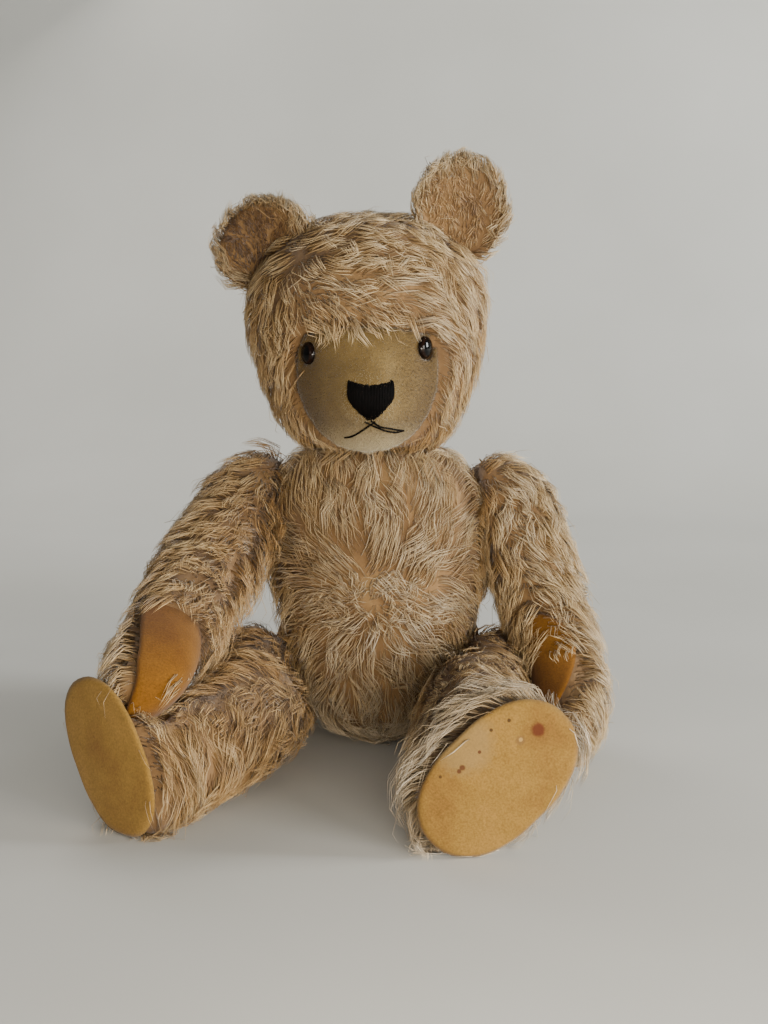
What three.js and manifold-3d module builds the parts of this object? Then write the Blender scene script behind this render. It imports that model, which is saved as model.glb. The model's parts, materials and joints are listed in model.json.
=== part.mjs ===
// A jointed mohair teddy bear, sitting with its legs out in front of it.
// Millimetres, +Z up. The bear looks along -Y, so +X is its left side.
// The origin is on the floor, under the middle of the seat.
import * as THREE from 'three';
import { mergeVertices } from 'three/addons/utils/BufferGeometryUtils.js';
import Module from 'manifold-3d';

const wasm = await Module();
wasm.setup();

// ---- driving dimensions ----

const GAP = 0.3; // air left between pieces that touch
const COVER = 4; // mohair cloth with its pile pressed down
const SHORT_PILE = 2; // how far the clipped mask and the felt pads lie below the long pile
const SOLE_THICK = 2.5; // felt sole with its card stiffener
const NECK_HEIGHT = 163; // where the head turns on the body
const ARM_TO_LEG = 1; // air between a resting arm and the leg it lies on

const DISC_THICK = 2.4;
const DISC_RADIUS = { neck: 23, shoulder: 17, hip: 22 };
const WASHER_RADIUS = 6;
const WASHER_THICK = 0.8;
const WASHER_HOLE = 2.1;
const PIN_RADIUS = 1.3;
const PIN_HOLE = 2.1;
const PIN_EYE = 3.2; // middle radius of the cotter pin's ring and of its curled ends
const PIN_WIRE = 1;

const EYE_RADIUS = 6.2;
const THREAD_RADIUS = 0.5;

const MOHAIR = new THREE.MeshStandardMaterial({ color: 0xc2a27a, roughness: 0.9, metalness: 0 });
const SHORT_MOHAIR = new THREE.MeshStandardMaterial({ color: 0xb2976b, roughness: 0.85, metalness: 0 });
const FELT = new THREE.MeshStandardMaterial({ color: 0xc6954f, roughness: 0.95, metalness: 0 });
const WOOD_WOOL = new THREE.MeshStandardMaterial({ color: 0xcdb88a, roughness: 0.9, metalness: 0 });
const HARDBOARD = new THREE.MeshStandardMaterial({ color: 0x7a5a3a, roughness: 0.8, metalness: 0 });
const STEEL = new THREE.MeshStandardMaterial({ color: 0x8f8d88, roughness: 0.4, metalness: 1 });
const GLASS = new THREE.MeshStandardMaterial({ color: 0x120c0a, roughness: 0.08, metalness: 0 });
const THREAD = new THREE.MeshStandardMaterial({ color: 0x2a1b18, roughness: 0.6, metalness: 0 });

// ---- solids ----

const vec = (p) => new THREE.Vector3(...p);

/** Makes a closed three.js geometry into a solid that can be joined and cut. */
function solidOf(geometry) {
  const bare = geometry.clone();
  bare.deleteAttribute('normal');
  bare.deleteAttribute('uv');
  const merged = mergeVertices(bare, 1e-4);
  const mesh = new wasm.Mesh({
    numProp: 3,
    vertProperties: new Float32Array(merged.attributes.position.array),
    triVerts: new Uint32Array(merged.index.array),
  });
  mesh.merge();
  return new wasm.Manifold(mesh);
}

/** Turns a solid back into geometry, and adds it to the bear as a named piece. */
const bear = new THREE.Group();
function addPiece(name, solid, material) {
  const mesh = biggest(solid).getMesh();
  const geometry = new THREE.BufferGeometry();
  geometry.setAttribute('position', new THREE.BufferAttribute(mesh.vertProperties, 3));
  geometry.setIndex(new THREE.BufferAttribute(mesh.triVerts, 1));
  geometry.computeVertexNormals();
  const piece = new THREE.Mesh(geometry, material);
  piece.name = name;
  bear.add(piece);
}

/** The biggest of the bodies that a cut leaves, without the slivers beside it. */
function biggest(solid) {
  const bodies = solid.decompose();
  return bodies.reduce((best, body) => (body.volume() > best.volume() ? body : best));
}

/** A curve through one list of numbers of each station, read by how far along the body it is. */
function curveOf(stations, key) {
  return new THREE.CatmullRomCurve3(stations.map((s) => vec(s[key])), false, 'catmullrom', 0.5);
}

/**
 * A soft stuffed shape: a sphere drawn out along its stations, with a round cap on each end.
 * A station has its middle (at), its half sizes (half: [wide, deep]) and the two directions
 * that those sizes run in (wide, deep). A fullness over 2 squares the section up a little.
 * An inset makes the same shape that much smaller all round, or larger if it is below zero.
 */
function stuffedShape({ stations, caps, around, rings, capRings = 3, fullness = 2, inset = 0 }) {
  const at = curveOf(stations, 'at');
  const half = curveOf(stations.map((s) => ({ half: [...s.half, 0] })), 'half');
  const wide = curveOf(stations, 'wide');
  const deep = curveOf(stations, 'deep');
  const geometry = new THREE.SphereGeometry(1, around, rings);
  const position = geometry.attributes.position;
  const point = new THREE.Vector3();
  for (let i = 0; i < position.count; i += 1) {
    point.fromBufferAttribute(position, i);
    const ring = Math.round((Math.acos(THREE.MathUtils.clamp(point.y, -1, 1)) / Math.PI) * rings);
    const fromEnd = Math.min(ring, rings - ring);
    const share = THREE.MathUtils.clamp((ring - capRings) / (rings - 2 * capRings), 0, 1);
    const size = half.getPoint(share);
    const middle = at.getPoint(share);
    let girth = 1;
    if (fromEnd < capRings) {
      const angle = (fromEnd / capRings) * (Math.PI / 2);
      const outward = at.getTangent(share).multiplyScalar(ring < capRings ? -1 : 1);
      middle.addScaledVector(outward, (caps[ring < capRings ? 0 : 1] - inset) * Math.cos(angle));
      girth = Math.sin(angle);
    }
    const spread = Math.hypot(point.x, point.z);
    if (spread > 1e-6 && girth > 0) {
      const across = swell(point.x / spread, fullness) * (size.x - inset) * girth;
      const along = swell(point.z / spread, fullness) * (size.y - inset) * girth;
      middle.addScaledVector(wide.getPoint(share).normalize(), across);
      middle.addScaledVector(deep.getPoint(share).normalize(), along);
    }
    position.setXYZ(i, middle.x, middle.y, middle.z);
  }
  geometry.deleteAttribute('normal');
  geometry.deleteAttribute('uv');
  return outwards(mergeVertices(geometry, 1e-4));
}

/** A cosine or sine, pushed outwards so that a circle of them becomes a fuller curve. */
function swell(part, fullness) {
  return Math.sign(part) * Math.abs(part) ** (2 / fullness);
}

/** Turns the faces of a closed shape round if they point inwards. */
function outwards(geometry) {
  const p = geometry.attributes.position;
  const index = geometry.index.array;
  const corners = [new THREE.Vector3(), new THREE.Vector3(), new THREE.Vector3()];
  let volume = 0;
  for (let i = 0; i < index.length; i += 3) {
    corners.forEach((corner, k) => corner.fromBufferAttribute(p, index[i + k]));
    volume += corners[0].dot(corners[1].clone().cross(corners[2]));
  }
  if (volume < 0) {
    for (let i = 0; i < index.length; i += 3) {
      [index[i], index[i + 1]] = [index[i + 1], index[i]];
    }
  }
  return geometry;
}

/** The same shape with its skin drawn in by a distance. */
function drawnIn(geometry, distance) {
  const smaller = geometry.clone();
  smaller.computeVertexNormals();
  const { position, normal } = smaller.attributes;
  for (let i = 0; i < position.count; i += 1) {
    position.setXYZ(
      i,
      position.getX(i) - normal.getX(i) * distance,
      position.getY(i) - normal.getY(i) * distance,
      position.getZ(i) - normal.getZ(i) * distance,
    );
  }
  return smaller;
}

/** Puts a geometry made along +Z on a joint's axis, its zero on the joint's plane. */
function onAxis(geometry, joint) {
  const turn = new THREE.Quaternion().setFromUnitVectors(new THREE.Vector3(0, 0, 1), joint.axis);
  return geometry.applyQuaternion(turn).translate(...joint.at.toArray());
}

/** A round bar along a joint's axis, from one distance to another. */
function barOn(joint, radius, from, to, sides = 12) {
  const section = new THREE.Shape();
  section.absarc(0, 0, radius, 0, Math.PI * 2);
  return extrusionOn(joint, section, from, to, sides);
}

/** A flat section drawn out along a joint's axis; a full circle in it takes an even number of sides. */
function extrusionOn(joint, section, from, to, sides) {
  const settings = { depth: to - from, bevelEnabled: false, curveSegments: sides / 2 };
  const bar = new THREE.ExtrudeGeometry(section, settings).translate(0, 0, from);
  return solidOf(onAxis(bar, joint));
}

/** A round plate on a joint's axis, with the pin's hole in its middle. */
function plateOn(joint, radius, from, thick, sides = 14) {
  const plate = new THREE.Shape();
  plate.absarc(0, 0, radius, 0, Math.PI * 2);
  const hole = new THREE.Path();
  hole.absarc(0, 0, WASHER_HOLE, 0, Math.PI * 2, true);
  plate.holes.push(hole);
  return extrusionOn(joint, plate, from, from + thick, sides);
}

/** Everything on the far side of a plane, as a large block. */
function beyond(at, direction, from) {
  const size = 400;
  const block = new THREE.BoxGeometry(size, size, size).translate(0, 0, size / 2 + from);
  return solidOf(onAxis(block, { at, axis: direction }));
}

const FLOOR = beyond(new THREE.Vector3(), new THREE.Vector3(0, 0, -1), 0);

// ---- joints: each turns about an axis that points out of the body ----

const joint = (at, axis) => ({ at: vec(at), axis: vec(axis).normalize() });
const JOINTS = {
  neck: joint([-4, 0, NECK_HEIGHT], [0, 0, 1]),
  shoulder_left: joint([57, 2, 130], [0.97, 0.22, 0.05]),
  shoulder_right: joint([-57, 2, 130], [-0.97, 0.22, 0.05]),
  hip_left: joint([45, -12, 39], [0.95, 0.1, -0.22]),
  hip_right: joint([-45, -12, 39], [-0.94, 0.22, -0.22]),
};
const kindOf = (name) => name.split('_')[0];

/** The point of a limb's middle line that lies a distance out from its joint. */
function outFrom(name, distance, along = [0, 0, 0]) {
  const { at, axis } = JOINTS[name];
  return at.clone().addScaledVector(axis, distance).add(vec(along)).toArray();
}

/** Discs, washers and cotter pin of one joint: limb half outwards, body half inwards. */
const discFrom = GAP + COVER + GAP;
const washerFrom = discFrom + DISC_THICK + GAP;
const pinEnd = washerFrom + WASHER_THICK + GAP;
const POCKET_ROOM = 1.2;
const pocketDepth = pinEnd + 2 * (PIN_EYE + PIN_WIRE) + 1.5;

function addJointHardware(name) {
  const radius = DISC_RADIUS[kindOf(name)];
  const turn = JOINTS[name];
  for (const [side, sign] of [['outer', 1], ['inner', -1]]) {
    const start = (from, thick) => (sign > 0 ? from : -from - thick);
    const disc = plateOn(turn, radius, start(discFrom, DISC_THICK), DISC_THICK);
    addPiece(`${name}_disc_${side}`, disc, HARDBOARD);
    const washer = plateOn(turn, WASHER_RADIUS, start(washerFrom, WASHER_THICK), WASHER_THICK, 8);
    addPiece(`${name}_washer_${side}`, washer, STEEL);
  }
  addPiece(`${name}_cotter_pin`, cotterPin(turn), STEEL);
}

/** A cotter pin: a ring on the limb's side, a shank, and two curled legs inside the body. */
function cotterPin(turn) {
  const ring = (x, z) => {
    const wire = new THREE.TorusGeometry(PIN_EYE, PIN_WIRE, 4, 7);
    return solidOf(onAxis(wire.rotateX(Math.PI / 2).translate(x, 0, z), turn));
  };
  const reach = pinEnd + PIN_EYE + PIN_WIRE;
  const shank = barOn(turn, PIN_RADIUS, -pinEnd - PIN_WIRE, pinEnd + PIN_WIRE, 6);
  return shank.add(ring(0, reach)).add(ring(PIN_EYE, -reach)).add(ring(-PIN_EYE, -reach));
}

/** The pocket in a stuffing that the discs, washers and pin of a joint sit in. */
function pocket(name, inLimb, from = 0) {
  const radius = DISC_RADIUS[kindOf(name)] + POCKET_ROOM;
  const span = inLimb ? [from, pocketDepth] : [-pocketDepth, -from];
  return barOn(JOINTS[name], radius, ...span);
}

const pinHole = (name) => barOn(JOINTS[name], PIN_HOLE, -30, 30, 6);

// ---- body ----

const SIDE = [1, 0, 0];
const FRONT = [0, 1, 0];
const level = (x, y, z, wide, deep) => ({ at: [x, y, z], half: [wide, deep], wide: SIDE, deep: FRONT });

const TORSO_SHAPE = stuffedShape({
  stations: [
    level(0, -9, 12, 38, 47),
    level(0, -7, 40, 53, 57),
    level(0, -4, 72, 61, 59),
    level(0, -1, 104, 61, 56),
    level(0, 0, 132, 58, 50),
    level(-2, 1, 150, 50, 42),
  ],
  caps: [16, 18],
  around: 18,
  rings: 12,
});

/** The torso's joints press a flat round seat into it, so its neighbours can turn there. */
const SEAT_RADIUS = { neck: 60, shoulder: 29, hip: 41 };
function seats(depth) {
  return Object.entries(JOINTS).map(([name, turn]) => {
    const radius = SEAT_RADIUS[kindOf(name)] + depth;
    return barOn(turn, radius, -GAP - depth, 40, 16);
  });
}

function torsoSolid(depth) {
  let solid = solidOf(depth > 0 ? drawnIn(TORSO_SHAPE, depth) : TORSO_SHAPE);
  for (const seat of seats(depth)) {
    solid = solid.subtract(seat);
  }
  return solid.subtract(FLOOR.translate([0, 0, depth]));
}

function addTorso() {
  let cover = torsoSolid(0).subtract(torsoSolid(COVER));
  let stuffing = torsoSolid(COVER + GAP);
  for (const name of Object.keys(JOINTS)) {
    cover = cover.subtract(pinHole(name)).subtract(pocket(name, false, GAP + COVER));
    stuffing = stuffing.subtract(pocket(name, false));
  }
  addPiece('torso_cover', cover, MOHAIR);
  addPiece('torso_stuffing', stuffing, WOOD_WOOL);
}

// ---- limbs ----

/**
 * A limb down to a depth in its skin: flat where it turns on the body and where it rests,
 * and pressed in by the limb that lies against it, if that one is the firmer of the two.
 * The dent also clears the firmer limb while that one is lifted out of it.
 */
const LIMB_SEAT_RADIUS = 60;
function limbSolid({ form, turn, presser }, depth) {
  let solid = solidOf(stuffedShape({ ...form, inset: depth }))
    .subtract(barOn(turn, LIMB_SEAT_RADIUS + depth, -80, GAP + depth))
    .subtract(FLOOR.translate([0, 0, depth]));
  if (presser) {
    const grown = stuffedShape({ ...presser.form, inset: -ARM_TO_LEG - depth });
    for (const degrees of presser.lifts) {
      solid = solid.subtract(solidOf(turned(grown, presser.turn, degrees)));
    }
  }
  return solid;
}

/** A copy of a limb's shape, turned about its joint. */
function turned(geometry, { at, axis }, degrees) {
  const turn = new THREE.Matrix4().makeRotationAxis(axis, THREE.MathUtils.degToRad(degrees));
  const [x, y, z] = at.toArray();
  return geometry.clone().translate(-x, -y, -z).applyMatrix4(turn).translate(x, y, z);
}

/** A leaf-shaped outline, pushed through a limb along one direction: where a paw pad is sewn in. */
function leafCutter({ at, facing, along, length, width, margin }) {
  const tip = length / 2 + margin;
  const side = width / 2 + margin;
  const leaf = new THREE.Shape();
  leaf.moveTo(0, -tip);
  leaf.bezierCurveTo(side * 1.1, -tip * 0.75, side * 1.35, tip * 0.45, 0, tip);
  leaf.bezierCurveTo(-side * 1.35, tip * 0.45, -side * 1.1, -tip * 0.75, 0, -tip);
  const cutter = new THREE.ExtrudeGeometry(leaf, { depth: 60, bevelEnabled: false, curveSegments: 7 });
  const out = vec(facing).normalize();
  const across = vec(along).cross(out).normalize();
  const up = out.clone().cross(across);
  cutter.applyMatrix4(new THREE.Matrix4().makeBasis(across, up, out));
  return solidOf(cutter.translate(...at));
}

function addArm(side) {
  const arm = ARMS[side];
  const joint = `shoulder_${side}`;
  const inside = biggest(limbSolid(arm, COVER));
  const cover = limbSolid(arm, 0).subtract(inside);
  const padLayer = limbSolid(arm, SHORT_PILE).subtract(inside);
  const window = leafCutter({ ...PAW_PADS[side], margin: GAP });
  addPiece(
    `arm_${side}_cover`,
    cover.subtract(window).subtract(pinHole(joint)).subtract(pocket(joint, true, GAP + COVER)),
    MOHAIR,
  );
  addPiece(`paw_pad_${side}`, padLayer.intersect(leafCutter({ ...PAW_PADS[side], margin: 0 })), FELT);
  addPiece(`arm_${side}_stuffing`, limbSolid(arm, COVER + GAP).subtract(pocket(joint, true)), WOOD_WOOL);
}

function addLeg(side) {
  const leg = LEGS[side];
  const joint = `hip_${side}`;
  const at = vec(SOLES[side].at);
  const facing = vec(SOLES[side].facing).normalize();
  const outer = limbSolid(leg, 0);
  const cover = outer.subtract(beyond(at, facing, 0)).subtract(biggest(limbSolid(leg, COVER)));
  const sole = outer.subtract(beyond(at, facing, GAP + SOLE_THICK)).intersect(beyond(at, facing, GAP));
  const stuffing = limbSolid(leg, COVER + GAP)
    .subtract(beyond(at, facing, 0))
    .subtract(pocket(joint, true));
  addPiece(
    `leg_${side}_cover`,
    cover.subtract(pinHole(joint)).subtract(pocket(joint, true, GAP + COVER)),
    MOHAIR,
  );
  addPiece(`foot_sole_${side}`, sole, FELT);
  addPiece(`leg_${side}_stuffing`, stuffing, WOOD_WOOL);
}

/** A station of a limb: its middle, its half sizes, and which way it is wide and deep. */
const section = (at, half, wide, deep) => ({ at, half, wide, deep });

const ARM_LEFT = JOINTS.shoulder_left.axis.toArray();
const ARM_RIGHT = JOINTS.shoulder_right.axis.toArray();
const ARM_STATIONS = {
  left: [
    section(outFrom('shoulder_left', 17), [27, 26], [0.1, -0.9, 0.3], ARM_LEFT),
    section([84, -8, 106], [27, 24], [0.1, -0.95, 0.25], ARM_LEFT),
    section([92, -24, 78], [26, 22], [0.1, -0.9, 0.5], [1, 0.1, 0]),
    section([99, -54, 50], [24, 21], [0.1, -0.7, 0.7], [1, 0, 0]),
    section([101, -88, 30], [20, 19], [0.1, -0.5, 0.85], [1, 0.1, 0]),
    section([99, -104, 24], [17, 17], [0.1, -0.5, 0.85], [1, 0.2, 0]),
  ],
  right: [
    section(outFrom('shoulder_right', 17), [27, 26], [-0.1, 0.5, -0.8], ARM_RIGHT),
    section([-88, -24, 112], [27, 24], [-0.1, 0.5, -0.8], ARM_RIGHT),
    section([-98, -62, 94], [26, 23], [-0.1, 0.5, -0.8], [-1, 0.1, 0.2]),
    section([-105, -102, 79], [24, 22], [-0.1, 0.45, -0.85], [-1, 0.1, 0.2]),
    section([-110, -142, 67], [22, 20], [-0.1, 0.45, -0.85], [-1, 0.1, 0.2]),
    section([-113, -162, 59], [18, 17], [-0.1, 0.5, -0.8], [-1, 0.1, 0.2]),
  ],
};
const PAW_PADS = {
  left: {
    at: [99, -68, 44],
    facing: [-0.75, -0.6, 0.2],
    along: [0.1, -0.65, -0.7],
    length: 78,
    width: 36,
  },
  right: {
    at: [-106, -133, 70],
    facing: [0.6, -0.79, -0.04],
    along: [-0.15, -0.86, -0.42],
    length: 90,
    width: 41,
  },
};

const LEG_LEFT = JOINTS.hip_left.axis.toArray();
const LEG_RIGHT = JOINTS.hip_right.axis.toArray();
const LEG_STATIONS = {
  left: [
    section(outFrom('hip_left', 18, [0, 2, -8]), [31, 27], [0.35, 0, 0.93], LEG_LEFT),
    section([57, -52, 29], [31, 28], [0.4, 0, 0.9], [0.9, 0.1, -0.4]),
    section([50, -98, 28], [28, 28], [0.5, 0, 0.85], [0.85, 0, -0.5]),
    section([46, -142, 27], [27, 25], [0.6, 0, 0.8], [0.8, 0, -0.6]),
    section([46, -180, 31], [34, 25], [0.7, 0, 0.7], [0.7, 0, -0.7]),
    section([53, -209, 35], [43, 24], [0.71, 0.06, 0.7], [0.7, 0, -0.71]),
    section([54, -222, 35.5], [43.5, 24], [0.71, 0.06, 0.7], [0.7, 0, -0.71]),
  ],
  right: [
    section(outFrom('hip_right', 18, [0, 2, -8]), [31, 27], [-0.35, 0, 0.93], LEG_RIGHT),
    section([-66, -52, 28], [31, 28], [-0.4, 0, 0.9], [-0.85, 0.3, -0.4]),
    section([-71, -92, 26], [28, 28], [-0.45, 0, 0.9], [-0.8, 0.4, -0.4]),
    section([-83, -130, 24], [25, 25], [-0.5, 0, 0.86], [-0.72, 0.5, -0.45]),
    section([-103, -158, 27], [31, 23], [-0.5, 0.15, 0.86], [-0.65, 0.6, -0.42]),
    section([-122, -179, 34.5], [43, 22], [-0.5, 0.3, 0.83], [-0.62, 0.63, -0.45]),
    section([-130, -189, 35], [43, 22], [-0.5, 0.3, 0.83], [-0.62, 0.63, -0.45]),
  ],
};
const SOLES = {
  left: { at: [54, -217, 35], facing: [0.03, -0.99, 0.1] },
  right: { at: [-125, -183, 35], facing: [-0.62, -0.77, 0.1] },
};
const formsOf = (stationsOf, settings) => ({
  left: { stations: stationsOf.left, ...settings },
  right: { stations: stationsOf.right, ...settings },
});
const ARM_FORMS = formsOf(ARM_STATIONS, { caps: [26, 20], around: 12, rings: 11 });
const LEG_FORMS = formsOf(LEG_STATIONS, { caps: [30, 12], around: 14, rings: 13, fullness: 2.3 });

/** The left arm is pressed in by the leg it leans on; the right paw lies in a dent in its foot. */
const ARMS = {
  left: {
    form: ARM_FORMS.left,
    turn: JOINTS.shoulder_left,
    presser: { form: LEG_FORMS.left, turn: JOINTS.hip_left, lifts: [0] },
  },
  right: { form: ARM_FORMS.right, turn: JOINTS.shoulder_right },
};
const LEGS = {
  left: { form: LEG_FORMS.left, turn: JOINTS.hip_left },
  right: {
    form: LEG_FORMS.right,
    turn: JOINTS.hip_right,
    presser: { form: ARM_FORMS.right, turn: JOINTS.shoulder_right, lifts: [0, 1, 2.5, 5] },
  },
};

// ---- head ----

const HEAD_SHAPE = stuffedShape({
  stations: [
    level(-5, -4, 176, 48, 45),
    level(-6, -4, 196, 58, 54),
    level(-7, -2, 218, 64, 58),
    level(-7, 0, 240, 66, 59),
    level(-7, 2, 260, 63, 56),
    level(-7, 3, 274, 50, 46),
  ],
  caps: [20, 17],
  around: 22,
  rings: 14,
});

/** The muzzle swells out of the front of the head. */
const MUZZLE = { at: [-6, 0, 193], reach: 24, spread: [27, 23] };
function swellMuzzle(geometry) {
  const position = geometry.attributes.position;
  for (let i = 0; i < position.count; i += 1) {
    const across = (position.getX(i) - MUZZLE.at[0]) / MUZZLE.spread[0];
    const up = (position.getZ(i) - MUZZLE.at[2]) / MUZZLE.spread[1];
    if (position.getY(i) < 0) {
      const push = MUZZLE.reach * Math.exp(-across * across - up * up);
      position.setY(i, position.getY(i) - push);
    }
  }
}
swellMuzzle(HEAD_SHAPE);

function headSolid(depth) {
  const { at, axis } = JOINTS.neck;
  const solid = solidOf(depth > 0 ? drawnIn(HEAD_SHAPE, depth) : HEAD_SHAPE);
  return solid.subtract(beyond(at, axis.clone().negate(), -GAP - depth));
}

/** The outline of the clipped face mask, pushed forwards through the front of the head. */
const FACE = { middle: -6, chin: NECK_HEIGHT + 3, brow: 226, half: 42 };
function maskCutter(margin) {
  const half = FACE.half + margin;
  const low = FACE.chin - margin;
  const high = FACE.brow + margin;
  const face = new THREE.Shape();
  face.moveTo(0, low);
  face.bezierCurveTo(half * 0.9, low, half * 1.05, high - 12, half * 0.8, high);
  face.bezierCurveTo(half * 0.4, high + 6, -half * 0.4, high + 6, -half * 0.8, high);
  face.bezierCurveTo(-half * 1.05, high - 12, -half * 0.9, low, 0, low);
  const cutter = new THREE.ExtrudeGeometry(face, { depth: 110, bevelEnabled: false, curveSegments: 7 });
  return solidOf(cutter.rotateX(Math.PI / 2).translate(FACE.middle, -10, 0));
}

/** Where a straight line going back from the front first meets a shape's skin. */
function skinPoint(geometry, x, z, y = -300, direction = new THREE.Vector3(0, 1, 0)) {
  const skin = new THREE.Mesh(geometry, new THREE.MeshBasicMaterial({ side: THREE.DoubleSide }));
  const hit = new THREE.Raycaster(new THREE.Vector3(x, y, z), direction).intersectObject(skin)[0];
  return { at: hit.point, normal: hit.face.normal.clone() };
}

const FACE_SKIN = drawnIn(HEAD_SHAPE, SHORT_PILE);

/** A glass eye on its wire: a flat dome, and a wire loop that was pulled into the head. */
const EYES = { left: { x: 25.5, z: 220 }, right: { x: -38, z: 217 } };
function eyeJoint(side) {
  const { at, normal } = skinPoint(FACE_SKIN, EYES[side].x, EYES[side].z);
  const outward = side === 'left' ? 1 : -1;
  const axis = new THREE.Vector3(outward * 0.7, -0.71, 0.02).normalize();
  return { at: at.addScaledVector(normal, 0.2), axis };
}

function eyeSolid(turn) {
  const profile = [[0, -1.2], [EYE_RADIUS * 0.9, -1], [EYE_RADIUS, 0.4], [EYE_RADIUS * 0.88, 2.4]];
  profile.push([EYE_RADIUS * 0.55, 4], [0, 4.7]);
  const dome = new THREE.LatheGeometry(profile.map((p) => new THREE.Vector2(...p)), 12);
  return solidOf(onAxis(dome.rotateX(Math.PI / 2), turn));
}

function addEye(side) {
  const turn = eyeJoint(side);
  addPiece(`eye_${side}`, eyeSolid(turn), GLASS);
  addPiece(`eye_${side}_wire`, barOn(turn, 0.7, -13, -1.2 - GAP, 8), STEEL);
}

/** The room that an eye and its wire take in the cloth and the stuffing. */
function eyeRoom(side) {
  const turn = eyeJoint(side);
  return barOn(turn, EYE_RADIUS + GAP, -1.2 - GAP, 12, 12).add(barOn(turn, 0.7 + GAP, -13.3, 0, 8));
}

/** An ear: two layers of mohair sewn round the edge, cupped, and closed along its foot. */
function earSolid({ at, out, up, width, height, cup, thick }) {
  const ear = new THREE.SphereGeometry(1, 14, 9);
  const position = ear.attributes.position;
  const upward = vec(up).normalize();
  const facing = vec(out).normalize();
  const across = upward.clone().cross(facing).normalize();
  const front = across.clone().cross(upward);
  const point = new THREE.Vector3();
  for (let i = 0; i < position.count; i += 1) {
    const x = position.getX(i);
    const y = position.getY(i);
    const z = position.getZ(i);
    const bend = cup * (x * x + 0.35 * y * y);
    point.copy(vec(at));
    point.addScaledVector(across, x * width);
    point.addScaledVector(upward, (y + 0.55) * height);
    point.addScaledVector(front, z * thick + bend);
    position.setXYZ(i, point.x, point.y, point.z);
  }
  ear.deleteAttribute('normal');
  ear.deleteAttribute('uv');
  return solidOf(outwards(mergeVertices(ear, 1e-4)));
}

const EARS = {
  left: {
    at: [39, 2, 275],
    up: [0.3, 0, 1],
    out: [0.3, -1, 0],
    width: 25,
    height: 29,
    cup: 12,
    thick: 8,
  },
  right: {
    at: [-57, 2, 266],
    up: [-0.75, 0, 1],
    out: [-0.35, -1, 0],
    width: 25,
    height: 24,
    cup: 14,
    thick: 8,
  },
};

/** The stitched nose lies on the mask as a thin shield of thread. */
const NOSE = { x: -4, top: 203.5, low: 182.5, half: 12.5 };
function noseSolid() {
  const shield = new THREE.Shape();
  shield.moveTo(NOSE.x - NOSE.half, NOSE.top);
  shield.quadraticCurveTo(NOSE.x, NOSE.top - 3, NOSE.x + NOSE.half, NOSE.top);
  shield.lineTo(NOSE.x + NOSE.half * 0.92, NOSE.top - 9);
  shield.quadraticCurveTo(NOSE.x + NOSE.half * 0.4, NOSE.low + 4, NOSE.x, NOSE.low);
  shield.quadraticCurveTo(NOSE.x - NOSE.half * 0.4, NOSE.low + 4, NOSE.x - NOSE.half * 0.92, NOSE.top - 9);
  shield.closePath();
  const cutter = new THREE.ExtrudeGeometry(shield, { depth: 110, bevelEnabled: false, curveSegments: 5 });
  const column = solidOf(cutter.rotateX(Math.PI / 2).translate(0, -10, 0));
  const over = solidOf(drawnIn(HEAD_SHAPE, SHORT_PILE - 1.8));
  return over.subtract(solidOf(drawnIn(HEAD_SHAPE, SHORT_PILE - GAP))).intersect(column);
}

/** The mouth: one long stitch down from the nose, parted into two that fall to the sides. */
const MOUTH = [[-18.5, 174], [-12, 175.5], [-7, 179], [-4, 181.6], [-0.5, 180], [5, 178], [13, 177]];
function mouthSolid() {
  const clear = THREAD_RADIUS + GAP + 0.35;
  const path = MOUTH.map(([x, z]) => {
    const { at, normal } = skinPoint(FACE_SKIN, x, z);
    return at.addScaledVector(normal, clear);
  });
  const ring = new THREE.Shape();
  ring.absarc(0, 0, THREAD_RADIUS, 0, Math.PI * 2);
  const thread = new THREE.ExtrudeGeometry(ring, {
    steps: 12,
    curveSegments: 3,
    bevelEnabled: false,
    extrudePath: new THREE.CatmullRomCurve3(path),
  });
  return solidOf(thread);
}

function addHead() {
  const ears = Object.fromEntries(Object.entries(EARS).map(([side, ear]) => [side, earSolid(ear)]));
  const nearHead = solidOf(drawnIn(HEAD_SHAPE, -GAP));
  for (const [side, ear] of Object.entries(ears)) {
    addPiece(`ear_${side}`, ear.subtract(nearHead), MOHAIR);
  }
  const hollow = headSolid(COVER);
  const eyeRooms = eyeRoom('left').add(eyeRoom('right'));
  const cover = headSolid(0).subtract(hollow).subtract(pinHole('neck'));
  addPiece(
    'head_cover',
    cover.subtract(pocket('neck', true, GAP + COVER)).subtract(maskCutter(GAP)).subtract(eyeRooms),
    MOHAIR,
  );
  const mask = headSolid(SHORT_PILE).subtract(hollow).intersect(maskCutter(0));
  addPiece('face_mask', mask.subtract(eyeRooms), SHORT_MOHAIR);
  const stuffing = headSolid(COVER + GAP).subtract(pocket('neck', true)).subtract(eyeRooms);
  addPiece('head_stuffing', stuffing, WOOD_WOOL);
  addEye('left');
  addEye('right');
  addPiece('nose_stitching', noseSolid(), THREAD);
  addPiece('mouth_stitching', mouthSolid(), THREAD);
}

// ---- the whole bear ----

addTorso();
addHead();
for (const side of ['left', 'right']) {
  addArm(side);
  addLeg(side);
}
Object.keys(JOINTS).forEach(addJointHardware);

export default bear;
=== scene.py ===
# %% [markdown]
# # A worn, jointed mohair bear
# An old stuffed bear sits with its legs out. It has a cloth body packed with wood wool, long
# wavy mohair pile that has matted and thinned, a clipped muzzle, glass eyes, a nose stitched in
# dark thread, and felt on its paws and feet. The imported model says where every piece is, so it
# is loaded first and each piece here is built around it, in metres.

import json
import math

import bmesh
import bpy
import numpy as np
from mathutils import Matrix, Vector
from mathutils.bvhtree import BVHTree
from mathutils.kdtree import KDTree

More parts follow.
